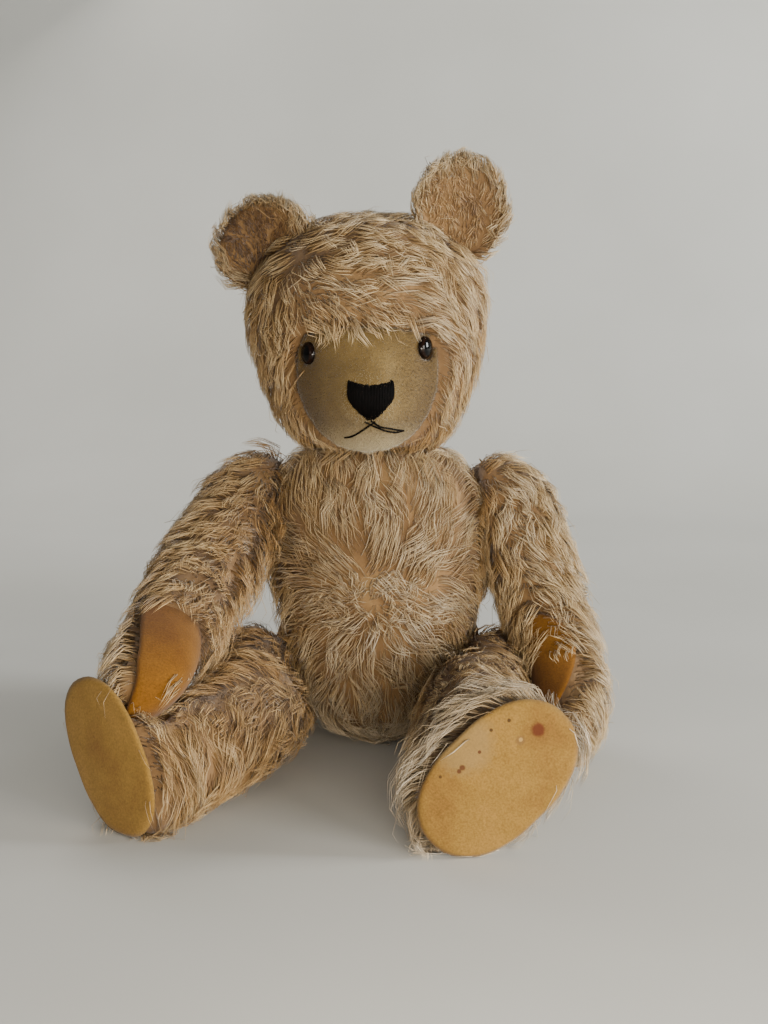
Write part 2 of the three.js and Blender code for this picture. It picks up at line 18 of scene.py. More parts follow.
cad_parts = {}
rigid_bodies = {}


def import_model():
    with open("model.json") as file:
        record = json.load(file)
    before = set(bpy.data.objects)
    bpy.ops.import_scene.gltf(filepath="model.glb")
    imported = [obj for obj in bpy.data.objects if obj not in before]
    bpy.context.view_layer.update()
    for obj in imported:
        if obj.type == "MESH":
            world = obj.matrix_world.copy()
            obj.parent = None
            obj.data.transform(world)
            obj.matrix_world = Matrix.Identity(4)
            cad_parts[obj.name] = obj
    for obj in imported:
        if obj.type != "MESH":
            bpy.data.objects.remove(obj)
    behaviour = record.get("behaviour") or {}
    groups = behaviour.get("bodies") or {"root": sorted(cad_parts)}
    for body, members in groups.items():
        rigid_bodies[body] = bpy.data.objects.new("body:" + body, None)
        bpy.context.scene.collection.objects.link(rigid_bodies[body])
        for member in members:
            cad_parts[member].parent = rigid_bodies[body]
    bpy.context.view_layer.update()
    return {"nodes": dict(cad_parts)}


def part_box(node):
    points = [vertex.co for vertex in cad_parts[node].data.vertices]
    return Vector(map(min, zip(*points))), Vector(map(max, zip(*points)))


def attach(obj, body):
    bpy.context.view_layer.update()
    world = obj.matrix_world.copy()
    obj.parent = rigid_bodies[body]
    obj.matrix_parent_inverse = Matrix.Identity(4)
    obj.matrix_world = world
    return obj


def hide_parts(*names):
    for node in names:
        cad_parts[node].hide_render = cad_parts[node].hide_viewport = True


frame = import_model()
bpy.ops.object.select_all(action="DESELECT")
MM = 0.001

# %% [markdown]
# ## Camera
# The camera stands a little under a metre in front of the bear and slightly above its eyes, and
# looks down at it by a few degrees. A lens of 54 mm keeps the feet from swelling towards us.

# %% Camera
def place_in_scene(name, data):
    """A new object of the given name for a mesh, curve, light or camera, in the scene."""
    placed = bpy.data.objects.new(name, data)
    bpy.context.scene.collection.objects.link(placed)
    return placed


CAMERA_PLACE = (0.003, -0.880, 0.256)
CAMERA_PITCH = 8.6
CAMERA_LENS = 54.0

camera_data = bpy.data.cameras.new("camera")
camera_data.sensor_width = 36.0
camera_data.lens = CAMERA_LENS
camera = place_in_scene("camera", camera_data)
camera.location = CAMERA_PLACE
camera.rotation_euler = (math.radians(90 - CAMERA_PITCH), 0, 0)
bpy.context.scene.camera = camera
print("camera at", CAMERA_PLACE, "lens", CAMERA_LENS)

# %% [markdown]
# ## Helpers for materials
# Every material is a Principled shader with a few nodes in front of it. Colours are written as
# the sRGB hex values that a painter would read off the piece, and turned to linear in one place.


# %% Material helpers
def linear(hex_colour):
    """An sRGB colour such as '#c2a27a' as linear red, green, blue and alpha."""
    parts = [int(hex_colour[i : i + 2], 16) / 255 for i in (1, 3, 5)]
    return [p / 12.92 if p <= 0.04045 else ((p + 0.055) / 1.055) ** 2.4 for p in parts] + [1.0]


def new_material(name, **sockets):
    """A material with one Principled shader, its sockets set; underscores stand for spaces."""
    material = bpy.data.materials.new(name)
    material.use_nodes = True
    shader = material.node_tree.nodes["Principled BSDF"]
    for socket, value in sockets.items():
        shader.inputs[socket.replace("_", " ")].default_value = value
    return material, shader


def add_node(material, kind, links=(), **settings):
    """Adds a node, sets its fields and sockets, and links sockets to it: (input, output socket)."""
    node = material.node_tree.nodes.new(kind)
    for name, value in settings.items():
        if hasattr(node, name):
            setattr(node, name, value)
        else:
            node.inputs[name.replace("_", " ")].default_value = value
    for name, source in links:
        material.node_tree.links.new(source, node.inputs[name])
    return node


def paint_ramp(node, stops):
    """Fills a colour ramp with (place, hex colour) stops."""
    ramp = node.color_ramp
    while len(ramp.elements) < len(stops):
        ramp.elements.new(0.5)
    for element, (place, colour) in zip(ramp.elements, stops):
        element.position = place
        element.color = linear(colour)
    return node


def mix_colours(material, factor, first, second, blend="MIX"):
    """Mixes two colour sockets; the factor and the second colour may be plain values."""
    mixed = add_node(material, "ShaderNodeMix", data_type="RGBA", blend_type=blend)
    for socket, value in ((0, factor), (6, first), (7, second)):
        if isinstance(value, bpy.types.NodeSocket):
            material.node_tree.links.new(value, mixed.inputs[socket])
        else:
            mixed.inputs[socket].default_value = value
    return mixed.outputs[2]


def object_place(material):
    """The piece's own coordinates, in metres."""
    return add_node(material, "ShaderNodeTexCoord").outputs["Object"]


def own_map(material, uv_map):
    """A piece's own map as a vector, and its U and V."""
    mapped = add_node(material, "ShaderNodeUVMap", uv_map=uv_map).outputs["UV"]
    parts = add_node(material, "ShaderNodeSeparateXYZ", [("Vector", mapped)])
    return mapped, parts.outputs["X"], parts.outputs["Y"]


def ramp(material, factor, stops):
    """The colour of a ramp of (place, hex colour) stops, read at a factor socket."""
    node = add_node(material, "ShaderNodeValToRGB", [("Fac", factor)])
    return paint_ramp(node, stops).outputs["Color"]


def noise(material, place, scale, detail):
    """A noise texture's factor, with its scale in grains per metre."""
    settings = {"Scale": scale, "Detail": detail}
    return add_node(material, "ShaderNodeTexNoise", [("Vector", place)], **settings).outputs["Fac"]


def link_colour(material, shader, colour):
    material.node_tree.links.new(colour, shader.inputs["Base Color"])


def link_bump(material, shader, height, strength, distance):
    """Bumps a shader's surface by a height socket."""
    settings = {"Strength": strength, "Distance": distance}
    bump = add_node(material, "ShaderNodeBump", [("Height", height)], **settings)
    material.node_tree.links.new(bump.outputs["Normal"], shader.inputs["Normal"])


# %% [markdown]
# ## Mohair pile
# Mohair is the long, smooth, slightly wavy hair of the angora goat, woven through a cotton
# backing. A hair is darker and more golden near its root, in part from old dye and dust and in
# part as painted shade deep in the pile, and pale and bright at its tip. Each lock of hair will
# carry its own tone across and its root-to-tip place up a small map, so the whole colour is two
# ramps read from that map and needs nothing else. Smooth hair gives long soft highlights, so the
# roughness is moderate and even.

# %% Mohair pile material
pile_material, pile_shader = new_material(
    "mohair_pile_worn",
    Roughness=0.42,
    IOR=1.5,
    Specular_IOR_Level=0.5,
    Sheen_Weight=0.15,
    Sheen_Roughness=0.4,
)
pile_map, hair_tone, hair_height = own_map(pile_material, "OFBake")
root_tones = ramp(
    pile_material,
    hair_tone,
    [(0.0, "#33200a"), (0.3, "#7a5629"), (0.6, "#94733f"), (1.0, "#a29478")],
)
tip_tones = ramp(
    pile_material,
    hair_tone,
    [(0.0, "#805522"), (0.3, "#d3ac70"), (0.6, "#f3dcae"), (1.0, "#f8f1e4")],
)
# Painted shade deep in the pile, with old dye: the hair is dark at the root and pale at the tip.
along_hair = ramp(
    pile_material,
    hair_height,
    [(0.0, "#000000"), (0.35, "#868686"), (1.0, "#ffffff")],
)
# Fine hairs side by side in a lock differ in brightness: a noise that changes quickly across.
hair_lines = add_node(
    pile_material,
    "ShaderNodeMapping",
    [("Vector", pile_map)],
    Scale=(230.0, 1.5, 1.0),
)
hair_shade = ramp(
    pile_material,
    noise(pile_material, hair_lines.outputs["Vector"], 1.0, 1.0),
    [(0.34, "#a89c88"), (0.62, "#ffffff")],
)
pile_colour = mix_colours(pile_material, along_hair, root_tones, tip_tones)
pile_colour = mix_colours(pile_material, 1.0, pile_colour, hair_shade, "MULTIPLY")
link_colour(pile_material, pile_shader, pile_colour)
print("made", pile_material.name)

# %% [markdown]
# ## Cotton backing
# Where the pile has thinned, the woven cotton that it grows from shows as a brown ground, kept
# dark as painted shade for the dark between the locks. It puckers over the stuffing in faint
# crossed ribs about four millimetres apart, and its colour wanders between a dark brown and a
# faded tan in patches a couple of centimetres wide.

# %% Cotton backing material
RIB_SPACING = 3.77 * MM
BANDS_PER_UNIT = 20 / (2 * math.pi)
backing_material, backing_shader = new_material("cotton_backing", Roughness=0.92, Sheen_Weight=0.2)
place = object_place(backing_material)
patches = noise(backing_material, place, 45.0, 4.0)
# Painted shade: the backing's browns are dark, as the shade down between the locks is.
backing_and_shade_tones = [(0.3, "#5a4124"), (0.55, "#775a36"), (0.75, "#8a6e46")]
link_colour(backing_material, backing_shader, ramp(backing_material, patches, backing_and_shade_tones))
ribs = [
    add_node(
        backing_material,
        "ShaderNodeTexWave",
        [("Vector", place)],
        bands_direction=direction,
        Scale=1 / (BANDS_PER_UNIT * RIB_SPACING),
        Distortion=1.5,
    )
    for direction in ("X", "Z")
]
crossed = add_node(
    backing_material,
    "ShaderNodeMath",
    [(0, ribs[0].outputs["Fac"]), (1, ribs[1].outputs["Fac"])],
    operation="MAXIMUM",
)
link_bump(backing_material, backing_shader, crossed.outputs[0], 0.5, 0.3 * MM)

# %% [markdown]
# ## Skins
# Under the pile each part of the bear is one smooth stuffed form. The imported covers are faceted
# shells, so a skin starts as copies of a cover and what fills it, fused by a voxel remesh into
# one closed body. Smoothing then rounds the facets as tight stuffing rounds cloth, and the skin
# is drawn in a little so that the pile has room to lie on it.


# %% Skin helpers
def joined_copy(name, nodes):
    """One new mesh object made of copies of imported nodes."""
    bpy.ops.object.select_all(action="DESELECT")
    copies = []
    for node in nodes:
        source = frame["nodes"][node]
        copy = place_in_scene(name, source.data.copy())
        copy.select_set(True)
        copies.append(copy)
    piece = copies[0]
    bpy.context.view_layer.objects.active = piece
    if len(copies) > 1:
        bpy.ops.object.join()
    piece.name = name
    piece.data.materials.clear()
    return piece


def apply_modifier(piece, kind, **settings):
    """Adds a modifier with its settings and applies it."""
    bpy.context.view_layer.objects.active = piece
    modifier = piece.modifiers.new(kind.title(), kind)
    for setting, value in settings.items():
        setattr(modifier, setting, value)
    bpy.ops.object.modifier_apply(modifier=modifier.name)


def corners_of(piece):
    """A mesh's vertex places as an array."""
    places = np.empty(len(piece.data.vertices) * 3)
    piece.data.vertices.foreach_get("co", places)
    return places.reshape(-1, 3)


def move_corners(piece, places):
    piece.data.vertices.foreach_set("co", places.ravel())
    piece.data.update()


def normals_of(piece):
    """A mesh's vertex normals as an array."""
    normals = np.empty(len(piece.data.vertices) * 3)
    piece.data.vertices.foreach_get("normal", normals)
    return normals.reshape(-1, 3)


def shade_smooth(piece):
    piece.data.polygons.foreach_set("use_smooth", [True] * len(piece.data.polygons))


def stuffed_skin(name, nodes, voxel, rounds, drawn_in):
    """Fuses copies of nodes into one smooth closed skin."""
    skin = joined_copy(name, nodes)
    apply_modifier(skin, "REMESH", mode="VOXEL", voxel_size=voxel, adaptivity=0.0)
    apply_modifier(skin, "SMOOTH", factor=0.5, iterations=rounds)
    places = corners_of(skin) - normals_of(skin) * drawn_in
    places[:, 2] = np.maximum(places[:, 2], 0.2 * MM)
    move_corners(skin, places)
    shade_smooth(skin)
    skin.data.materials.append(backing_material)
    return skin


def tree_of(piece):
    """A search tree over a mesh's faces."""
    corners = [v.co for v in piece.data.vertices]
    return BVHTree.FromPolygons(corners, [p.vertices[:] for p in piece.data.polygons])


def gaps_to(tree, places):
    """The distance from each place to the nearest face of a tree."""
    return np.array([tree.find_nearest(Vector(place))[3] for place in places])


def press_in(skin, node, depth, raised, reach):
    """Sinks a skin under a piece that lies on it, so that the piece shows up to its edge.

    Returns a search tree of the same skin raised over the piece, for hair to lie on.
    """
    places, normals = corners_of(skin), normals_of(skin)
    gap = gaps_to(tree_of(frame["nodes"][node]), places)
    near = (1 - smooth_step(reach * 0.5, reach, gap))[:, None]
    move_corners(skin, places + normals * near * raised)
    over = tree_of(skin)
    move_corners(skin, places - normals * near * depth)
    return over


def smooth_step(low, high, values):
    """0 below low, 1 above high, and a smooth rise between."""
    share = np.clip((values - low) / (high - low), 0, 1)
    return share * share * (3 - 2 * share)


# %% Body, head and limb skins
SKIN_NODES = {
    "torso": ["torso_cover", "torso_stuffing"],
    "head": ["head_cover", "face_mask", "head_stuffing"],
    "arm_left": ["arm_left_cover", "arm_left_stuffing", "paw_pad_left"],
    "arm_right": ["arm_right_cover", "arm_right_stuffing", "paw_pad_right"],
    "leg_left": ["leg_left_cover", "leg_left_stuffing", "foot_sole_left"],
    "leg_right": ["leg_right_cover", "leg_right_stuffing", "foot_sole_right"],
}
SKIN_VOXEL = 4.6 * MM
SKIN_DRAWN_IN = 0.3 * MM
SUNK_BY = 3.6 * MM
HAIR_RAISED = 1.4 * MM
OVERLAID = {
    "head": "face_mask",
    "arm_left": "paw_pad_left",
    "arm_right": "paw_pad_right",
    "leg_left": "foot_sole_left",
    "leg_right": "foot_sole_right",
}
skins = {}
combed_over = {}
for body, nodes in SKIN_NODES.items():
    skins[body] = stuffed_skin(f"{body}_skin", nodes, SKIN_VOXEL, 5, SKIN_DRAWN_IN)
    combed_over[body] = tree_of(skins[body])
    if body in OVERLAID:
        reach = 13 * MM if body.startswith("arm") else 6 * MM
        combed_over[body] = press_in(skins[body], OVERLAID[body], SUNK_BY, HAIR_RAISED, reach)
    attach(skins[body], body)
    print(skins[body].name, len(skins[body].data.polygons), "faces")
for body in ("torso", "arm_left", "arm_right", "leg_left", "leg_right"):
    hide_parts(f"{body}_cover", f"{body}_stuffing")
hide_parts("head_cover", "head_stuffing")

# %% [markdown]
# ## Growing the pile
# A hair particle system would not survive export, so each visible lock is a thin closed tube
# that tapers to a point. Thousands are laid at once with arrays: roots are scattered evenly over
# a skin, and each lock then creeps over the skin in three steps, following the way that the pile
# was brushed at that place. Locks near each other share a clump, with its own lean, wave and
# tone, and their tips are drawn together, which is what makes mohair look matted and wavy.


# %% Vector helpers
def unit(vectors):
    """Vectors scaled to length one, row by row."""
    return vectors / np.maximum(np.linalg.norm(vectors, axis=-1, keepdims=True), 1e-9)


def along_skin(vectors, normals):
    """The part of each vector that lies in the skin, scaled to length one."""
    flat = vectors - normals * np.sum(vectors * normals, axis=1, keepdims=True)
    return unit(flat)


def scatter(skin, count, rng):
    """Places spread evenly over a mesh's faces, with the faces' normals."""
    skin.data.calc_loop_triangles()
    triangles = np.empty(len(skin.data.loop_triangles) * 3, dtype=np.int64)
    skin.data.loop_triangles.foreach_get("vertices", triangles)
    corners = corners_of(skin)[triangles.reshape(-1, 3)]
    cross = np.cross(corners[:, 1] - corners[:, 0], corners[:, 2] - corners[:, 0])
    area = np.linalg.norm(cross, axis=1) / 2
    summed = np.cumsum(area)
    picks = (np.arange(count) + rng.random(count)) / count * summed[-1]
    chosen = np.minimum(np.searchsorted(summed, picks), len(area) - 1)
    first = rng.random((count, 1))
    second = rng.random((count, 1))
    over = (first + second) > 1
    first, second = np.where(over, 1 - first, first), np.where(over, 1 - second, second)
    tri = corners[chosen]
    places = tri[:, 0] + first * (tri[:, 1] - tri[:, 0]) + second * (tri[:, 2] - tri[:, 0])
    return places, unit(cross[chosen]), summed[-1]


def nearest_skin(tree, places):
    """The nearest skin point and its normal for each place."""
    found = [tree.find_nearest(Vector(place)) for place in places]
    return np.array([f[0] for f in found]), np.array([f[1] for f in found])


# %% Lock meshes
SIDES = 3


def lock_faces(ring_count):
    """The faces of one lock, with a height (root to tip) and a place across for each corner."""
    faces, sizes, heights, across = [], [], [], []
    tip = ring_count * SIDES
    for ring in range(ring_count):
        for side in range(SIDES):
            low, low_next = ring * SIDES + side, ring * SIDES + (side + 1) % SIDES
            if ring < ring_count - 1:
                faces += [low, low_next, low_next + SIDES, low + SIDES]
                heights += [ring, ring, ring + 1, ring + 1]
                across += [0, 1, 1, 0]
                sizes.append(4)
            else:
                faces += [low, low_next, tip]
                heights += [ring, ring, ring + 1]
                across += [0, 1, 0.5]
                sizes.append(3)
    faces += [2, 1, 0]
    heights += [0.0, 0.0, 0.05]
    across += [0, 1, 0.5]
    sizes.append(3)
    return np.array(faces), np.array(sizes), np.array(heights) / ring_count, np.array(across)


def lock_mesh(name, rings, tips, radii, sideways, upright, tones, spread):
    """Closed tapering tubes round the rings, each ending in its tip."""
    count, ring_count = rings.shape[:2]
    angles = np.arange(SIDES) * 2 * math.pi / SIDES + math.pi / 2
    offset = (
        np.cos(angles)[None, None, :, None] * sideways[:, :, None, :]
        + 0.6 * np.sin(angles)[None, None, :, None] * upright[:, :, None, :]
    )
    points = rings[:, :, None, :] + offset * radii[:, :, None, None]
    verts = np.concatenate([points.reshape(count, -1, 3), tips[:, None, :]], axis=1)
    faces, sizes, heights, across = lock_faces(ring_count)
    per_lock = ring_count * SIDES + 1
    corner_ids = (faces[None, :] + per_lock * np.arange(count)[:, None]).ravel()
    all_sizes = np.tile(sizes, count)
    starts = np.concatenate([[0], np.cumsum(all_sizes)[:-1]])
    mesh = bpy.data.meshes.new(name)
    mesh.vertices.add(count * per_lock)
    mesh.vertices.foreach_set("co", verts.ravel())
    mesh.loops.add(len(corner_ids))
    mesh.loops.foreach_set("vertex_index", corner_ids.astype(np.int32))
    mesh.polygons.add(len(all_sizes))
    mesh.polygons.foreach_set("loop_start", starts.astype(np.int32))
    mesh.polygons.foreach_set("use_smooth", [True] * len(all_sizes))
    mesh.update(calc_edges=True)
    tone_map = np.clip(tones, 0.004, 0.97)[:, None] + spread[:, None] * across[None, :]
    height_map = np.tile(heights, (count, 1))
    layer = mesh.uv_layers.new(name="OFBake")
    layer.data.foreach_set("uv", np.stack([tone_map, height_map], axis=2).ravel())
    mesh.validate()
    mesh.materials.append(pile_material)
    return place_in_scene(name, mesh)


# %% Growing helpers
STEPS = 3
STANDING = (0.0, 0.62, 0.95, 1.0)
FLOOR_CLEAR = 0.4 * MM
STRAY_SHARE = 0.02
BROAD_SHARE = 0.42
BROAD_RADIUS = 0.46 * MM
FINE_RADIUS = 0.24 * MM
RUMPLE_SIZE = 14 * MM
ROOT_DEPTH = 0.8 * MM


def turn_about(vectors, axes, angles):
    """Vectors turned about axes at right angles to them."""
    return vectors * np.cos(angles)[:, None] + np.cross(axes, vectors) * np.sin(angles)[:, None]


def clump_up(roots, size, rng):
    """Gives each root the number of its clump and the row of that clump's leading hair."""
    leaders = rng.choice(len(roots), max(1, len(roots) // size), replace=False)
    search = KDTree(len(leaders))
    for i, leader in enumerate(leaders):
        search.insert(Vector(roots[leader]), i)
    search.balance()
    clump = np.array([search.find(Vector(root))[1] for root in roots])
    return clump, leaders[clump], len(leaders)


def rumple(places, strength):
    """A slow wander of the combing direction over the skin, in radians."""
    x, y, z = (places / RUMPLE_SIZE).T
    wander = np.sin(1.3 * x + 0.7 * z + 1.1) + np.sin(1.1 * z - 0.8 * x + 0.6 * y) + np.sin(0.9 * y - x)
    return strength * wander / 3


def lay_paths(tree, roots, normals, brushing, lean, reach, height, swing, phase, free):
    """Lets each lock creep over the skin; free locks fly straight on instead."""
    foot, up = roots.copy(), normals.copy()
    direction = along_skin(brushing(roots, normals), normals)
    direction = along_skin(turn_about(direction, up, lean), up)
    first = direction
    rings, ups = [roots - normals * ROOT_DEPTH], [normals]
    for k in range(1, STEPS + 1):
        share = k / STEPS
        foot = foot + direction * (reach / STEPS)[:, None]
        foot, up = nearest_skin(tree, foot)
        wanted = along_skin(brushing(foot, up), up)
        wanted = along_skin(turn_about(wanted, up, lean), up)
        direction = along_skin(0.45 * direction + 0.55 * wanted, up)
        side = np.cross(direction, up)
        angle = phase + share * 2.0 * math.pi
        laid = foot + up * (height * STANDING[k])[:, None]
        straight = roots + (first * reach[:, None] + normals * height[:, None]) * share
        place = laid * (1 - free) + straight * free
        place += side * (swing * np.sin(angle))[:, None] + up * (0.5 * swing * np.cos(angle))[:, None]
        rings.append(place)
        ups.append(up)
    return np.stack(rings, axis=1), np.stack(ups, axis=1)


def draw_together(rings, roots, leader, gather, stray):
    """Pulls each hair towards the hair that leads its clump, more and more towards the tip."""
    led = rings[leader]
    along = roots[:, None, :] + led - roots[leader][:, None, :]
    for k in range(1, STEPS + 1):
        pull = (gather * (k / STEPS) ** 1.3 * ~stray)[:, None]
        target = 0.35 * along[:, k] + 0.65 * led[:, k]
        rings[:, k] += (target - rings[:, k]) * pull
    return rings


def grow_pile(name, body, skin, count, seed, brushing, tone, length, lift, keep=None, **style):
    """Covers a skin with locks of hair.

    brushing, tone, length and lift are functions of places and normals; keep says which places
    grow hair. style may set clump, gather, wave, mess, rumpled, free, over, avoid and off_felt.
    """
    clump_size = style.get("clump", 15)
    mess = style.get("mess", 0.32)
    free = style.get("free", 0.0)
    rng = np.random.default_rng(seed)
    roots, normals, area = scatter(skin, count, rng)
    if keep is not None:
        kept = keep(roots, normals, rng)
        roots, normals = roots[kept], normals[kept]
    count = len(roots)
    clump, leader, clumps = clump_up(roots, clump_size, rng)
    stray = rng.random(count) < STRAY_SHARE
    broad = (rng.random(count) < BROAD_SHARE) & ~stray
    lean = rng.normal(0, mess, clumps)[clump] + rng.normal(0, mess * 0.16, count)
    lean += rumple(roots, style.get("rumpled", 0.35)) + stray * rng.normal(0, 0.5, count)
    phase = rng.uniform(0, 2 * math.pi, clumps)[clump] + rng.normal(0, 0.18, count)
    swing = rng.uniform(0.4, 1.4, clumps)[clump] * style.get("wave", 1.3 * MM)
    rise = rng.uniform(0.55, 1.35, clumps)[clump] * rng.uniform(0.75, 1.2, count)
    rise *= np.where(broad, 0.78, 1.0) * np.where(stray, 1.45, 1.0)
    reach = rng.uniform(0.8, 1.2, clumps)[clump] * rng.uniform(0.7, 1.15, count)
    reach *= length(roots, normals)
    height = lift(roots, normals) * rise
    tree = style.get("over") or tree_of(skin)
    rings, ups = lay_paths(tree, roots, normals, brushing, lean, reach, height, swing, phase, free)
    rings = draw_together(rings, roots, leader, style.get("gather", 0.6), stray)
    low = FLOOR_CLEAR + 0.6 * MM * rng.random((count, 1))
    rings[:, :, 2] = np.maximum(rings[:, :, 2], low)
    clear = np.ones(count, dtype=bool)
    for middle, radius in style.get("avoid", ()):
        clear &= np.linalg.norm(rings - middle, axis=2).min(axis=1) > radius
    if "off_felt" in style:
        clear &= ~style["off_felt"](rings)
    rings, ups, roots, normals = rings[clear], ups[clear], roots[clear], normals[clear]
    broad, clump, count = broad[clear], clump[clear], int(clear.sum())
    travel = np.diff(rings, axis=1)
    sideways = unit(np.cross(travel, ups[:, :-1]))
    upright = unit(np.cross(sideways, travel))
    radii = np.where(broad, BROAD_RADIUS, FINE_RADIUS)[:, None] * rng.uniform(0.8, 1.2, (count, 1))
    radii = radii * np.linspace(1.0, 0.6, STEPS)[None, :]
    tones = tone(roots, normals) + rng.normal(0, 0.05, clumps)[clump] + rng.normal(0, 0.06, count)
    spread = np.where(broad, 0.022, 0.003)
    piece = lock_mesh(name, rings[:, :-1], rings[:, -1], radii, sideways, upright, tones, spread)
    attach(piece, body)
    print(name, count, "locks on", round(area * 1e4), "cm2")


def steady(value):
    """The same number at every place."""
    return lambda places, normals: np.full(len(places), value)


def covered(tree, place, normal, reach):
    """Whether a piece lies over a place on a skin or within reach of it."""
    place, normal = Vector(place), Vector(normal)
    over = tree.ray_cast(place, normal, 6 * MM)[0] is not None
    return over or tree.find_nearest(place)[3] < reach


def off_piece(piece, reach):
    """A test for places that a piece does not lie over; few hairs grow where the bear sits."""
    tree = tree_of(piece)

    def keep(places, normals, rng):
        ragged = reach * rng.uniform(0.6, 1.2, len(places))
        bare = np.array([covered(tree, *root) for root in zip(places, normals, ragged)])
        sat_on = (normals[:, 2] < -0.85) & (places[:, 2] < 0.01) & (rng.random(len(places)) < 0.7)
        return ~bare & ~sat_on

    return keep


# %% [markdown]
# ## Pile on the body
# The body's pile parts from a whorl on the belly. Above it the hair fans up and outwards, below
# it the hair hangs, and at the sides and back it runs down. The hair is long, with a deep wave.


# %% Body pile
WHORL = np.array([-0.002, -0.062, 0.081])


def body_brushing(places, normals):
    x, z = places[:, 0] - WHORL[0], places[:, 2] - WHORL[2]
    above = smooth_step(-0.003, 0.006, z)
    sag = np.where(z > 0, 0.6 * (np.abs(x) / 0.05) ** 2 * 0.05, 0.01)
    fan = np.stack([x * 1.0, np.zeros(len(x)), z * 1.5 - sag - 0.004 * (1 - above)], axis=1)
    fan = unit(fan)
    down = np.stack([0.25 * np.sign(places[:, 0]), np.zeros(len(x)), -np.ones(len(x))], axis=1)
    front = smooth_step(0.05, 0.6, -normals[:, 1])[:, None]
    hem = smooth_step(0.030, 0.012, places[:, 2])[:, None]
    fan = fan * (1 - hem) + np.array([0.0, -0.8, -0.6]) * hem
    return fan * front + down * (1 - front)


def body_length(places, normals):
    hem = smooth_step(0.034, 0.014, places[:, 2]) * smooth_step(0.0, 0.5, -normals[:, 1])
    return (23 + 5 * hem) * MM


def body_tone(places, normals):
    # Painted shade darkens the pile beside the arms; painted light raises the tone low on the belly.
    near = np.linalg.norm(places - WHORL, axis=1)
    shade_beside_arm = smooth_step(0.040, 0.056, np.abs(places[:, 0])) * smooth_step(0.02, 0.08, places[:, 2])
    low = smooth_step(0.06, 0.01, places[:, 2])
    return 0.57 + 0.06 * smooth_step(0.05, 0.0, near) - 0.12 * shade_beside_arm + 0.2 * low


grow_pile(
    "torso_pile",
    "torso",
    skins["torso"],
    11600,
    11,
    body_brushing,
    body_tone,
    body_length,
    steady(4.6 * MM),
    keep=off_piece(frame["nodes"]["head_cover"], 0.2 * MM),
    wave=2.0 * MM,
    mess=0.3,
    gather=0.5,
)


def near_parting(places, normals, rng):
    """Places along the whorl, which runs across the belly as a short parting."""
    away = (places - WHORL) / np.array([0.045, 0.03, 0.012])
    return (np.linalg.norm(away, axis=1) < 1) & (normals[:, 1] < -0.4)


grow_pile(
    "whorl_pile",
    "torso",
    skins["torso"],
    16000,
    13,
    body_brushing,
    body_tone,
    steady(10 * MM),
    steady(4.8 * MM),
    keep=near_parting,
    wave=1.4 * MM,
    mess=1.1,
    free=0.35,
    clump=7,
)

# %% [markdown]
# ## Pile on the head
# The head's pile is parted above the right ear and brushed across the forehead in long flat
# waves, so it falls over the top of the muzzle as a fringe. At the cheeks and the back it hangs.
# No long hair grows on the clipped muzzle.

# %% Head pile
EYE_PLACES = [
    (np.array(sum(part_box(f"eye_{side}"), Vector()) / 2), 8.0 * MM) for side in ("left", "right")
]


def head_brushing(places, normals):
    x, z = places[:, 0], places[:, 2]
    count = len(places)
    near_ear = np.tile([-0.25, 0.1, -1.0], (count, 1))
    across = np.tile([1.0, -0.1, -0.25], (count, 1))
    fallen = np.tile([0.2, 0.1, -1.0], (count, 1))
    parted = smooth_step(-0.052, -0.036, x)[:, None]
    far_side = smooth_step(0.018, 0.044, x)[:, None]
    front = near_ear * (1 - parted) + across * parted
    front = front * (1 - far_side) + fallen * far_side
    fringe = smooth_step(0.252, 0.232, z)[:, None] * parted
    front = front * (1 - fringe) + np.array([0.55, -0.1, -0.85]) * fringe
    cheek = smooth_step(0.228, 0.212, z)[:, None]
    sides = np.stack([0.22 * np.sign(x + 0.006), 0.15 * np.ones(count), -np.ones(count)], axis=1)
    front = front * (1 - cheek) + sides * cheek
    behind = np.tile([0.15, 0.35, -1.0], (count, 1))
    back = smooth_step(-0.1, 0.5, normals[:, 1])[:, None]
    return front * (1 - back) + behind * back


EAR_FEET = [np.array([0.034, 0.002, 0.262]), np.array([-0.044, 0.002, 0.256])]


def beside_ears(places):
    """1 at the foot of an ear, 0 beyond about two centimetres."""
    gaps = np.min([np.linalg.norm(places - foot, axis=1) for foot in EAR_FEET], axis=0)
    return smooth_step(0.026, 0.012, gaps)


def head_lift(places, normals):
    return (4.2 + 4.0 * beside_ears(places)) * MM


def head_length(places, normals):
    fringe = smooth_step(0.245, 0.228, places[:, 2]) * smooth_step(0.3, 0.7, -normals[:, 1])
    top = smooth_step(0.3, 0.8, normals[:, 2])
    return (20 - 4 * fringe - 3 * top) * MM


def head_tone(places, normals):
    # Painted shade: the pile is darker low on the head and at its sides.
    low = smooth_step(0.2, 0.17, places[:, 2])
    side = smooth_step(0.05, 0.066, np.abs(places[:, 0] + 0.006))
    return 0.52 + 0.05 * smooth_step(0.24, 0.27, places[:, 2]) - 0.08 * low - 0.06 * side


grow_pile(
    "head_pile",
    "head",
    skins["head"],
    12000,
    23,
    head_brushing,
    head_tone,
    head_length,
    head_lift,
    keep=off_piece(frame["nodes"]["face_mask"], 0.5 * MM),
    over=combed_over["head"],
    avoid=EYE_PLACES,
    wave=1.4 * MM,
)

# %% [markdown]
# ## Felt pads and soles
# Wool felt is pressed, not woven: short fibres lie every way, so it is matt and even, with faint
# pale and dark fibres under a millimetre long. The paw pads are a strong orange ochre. The soles
# have faded to a paler yellow ochre, with grey dirt along one side, a brown stain, a ring spot
# and a few pin-head marks.


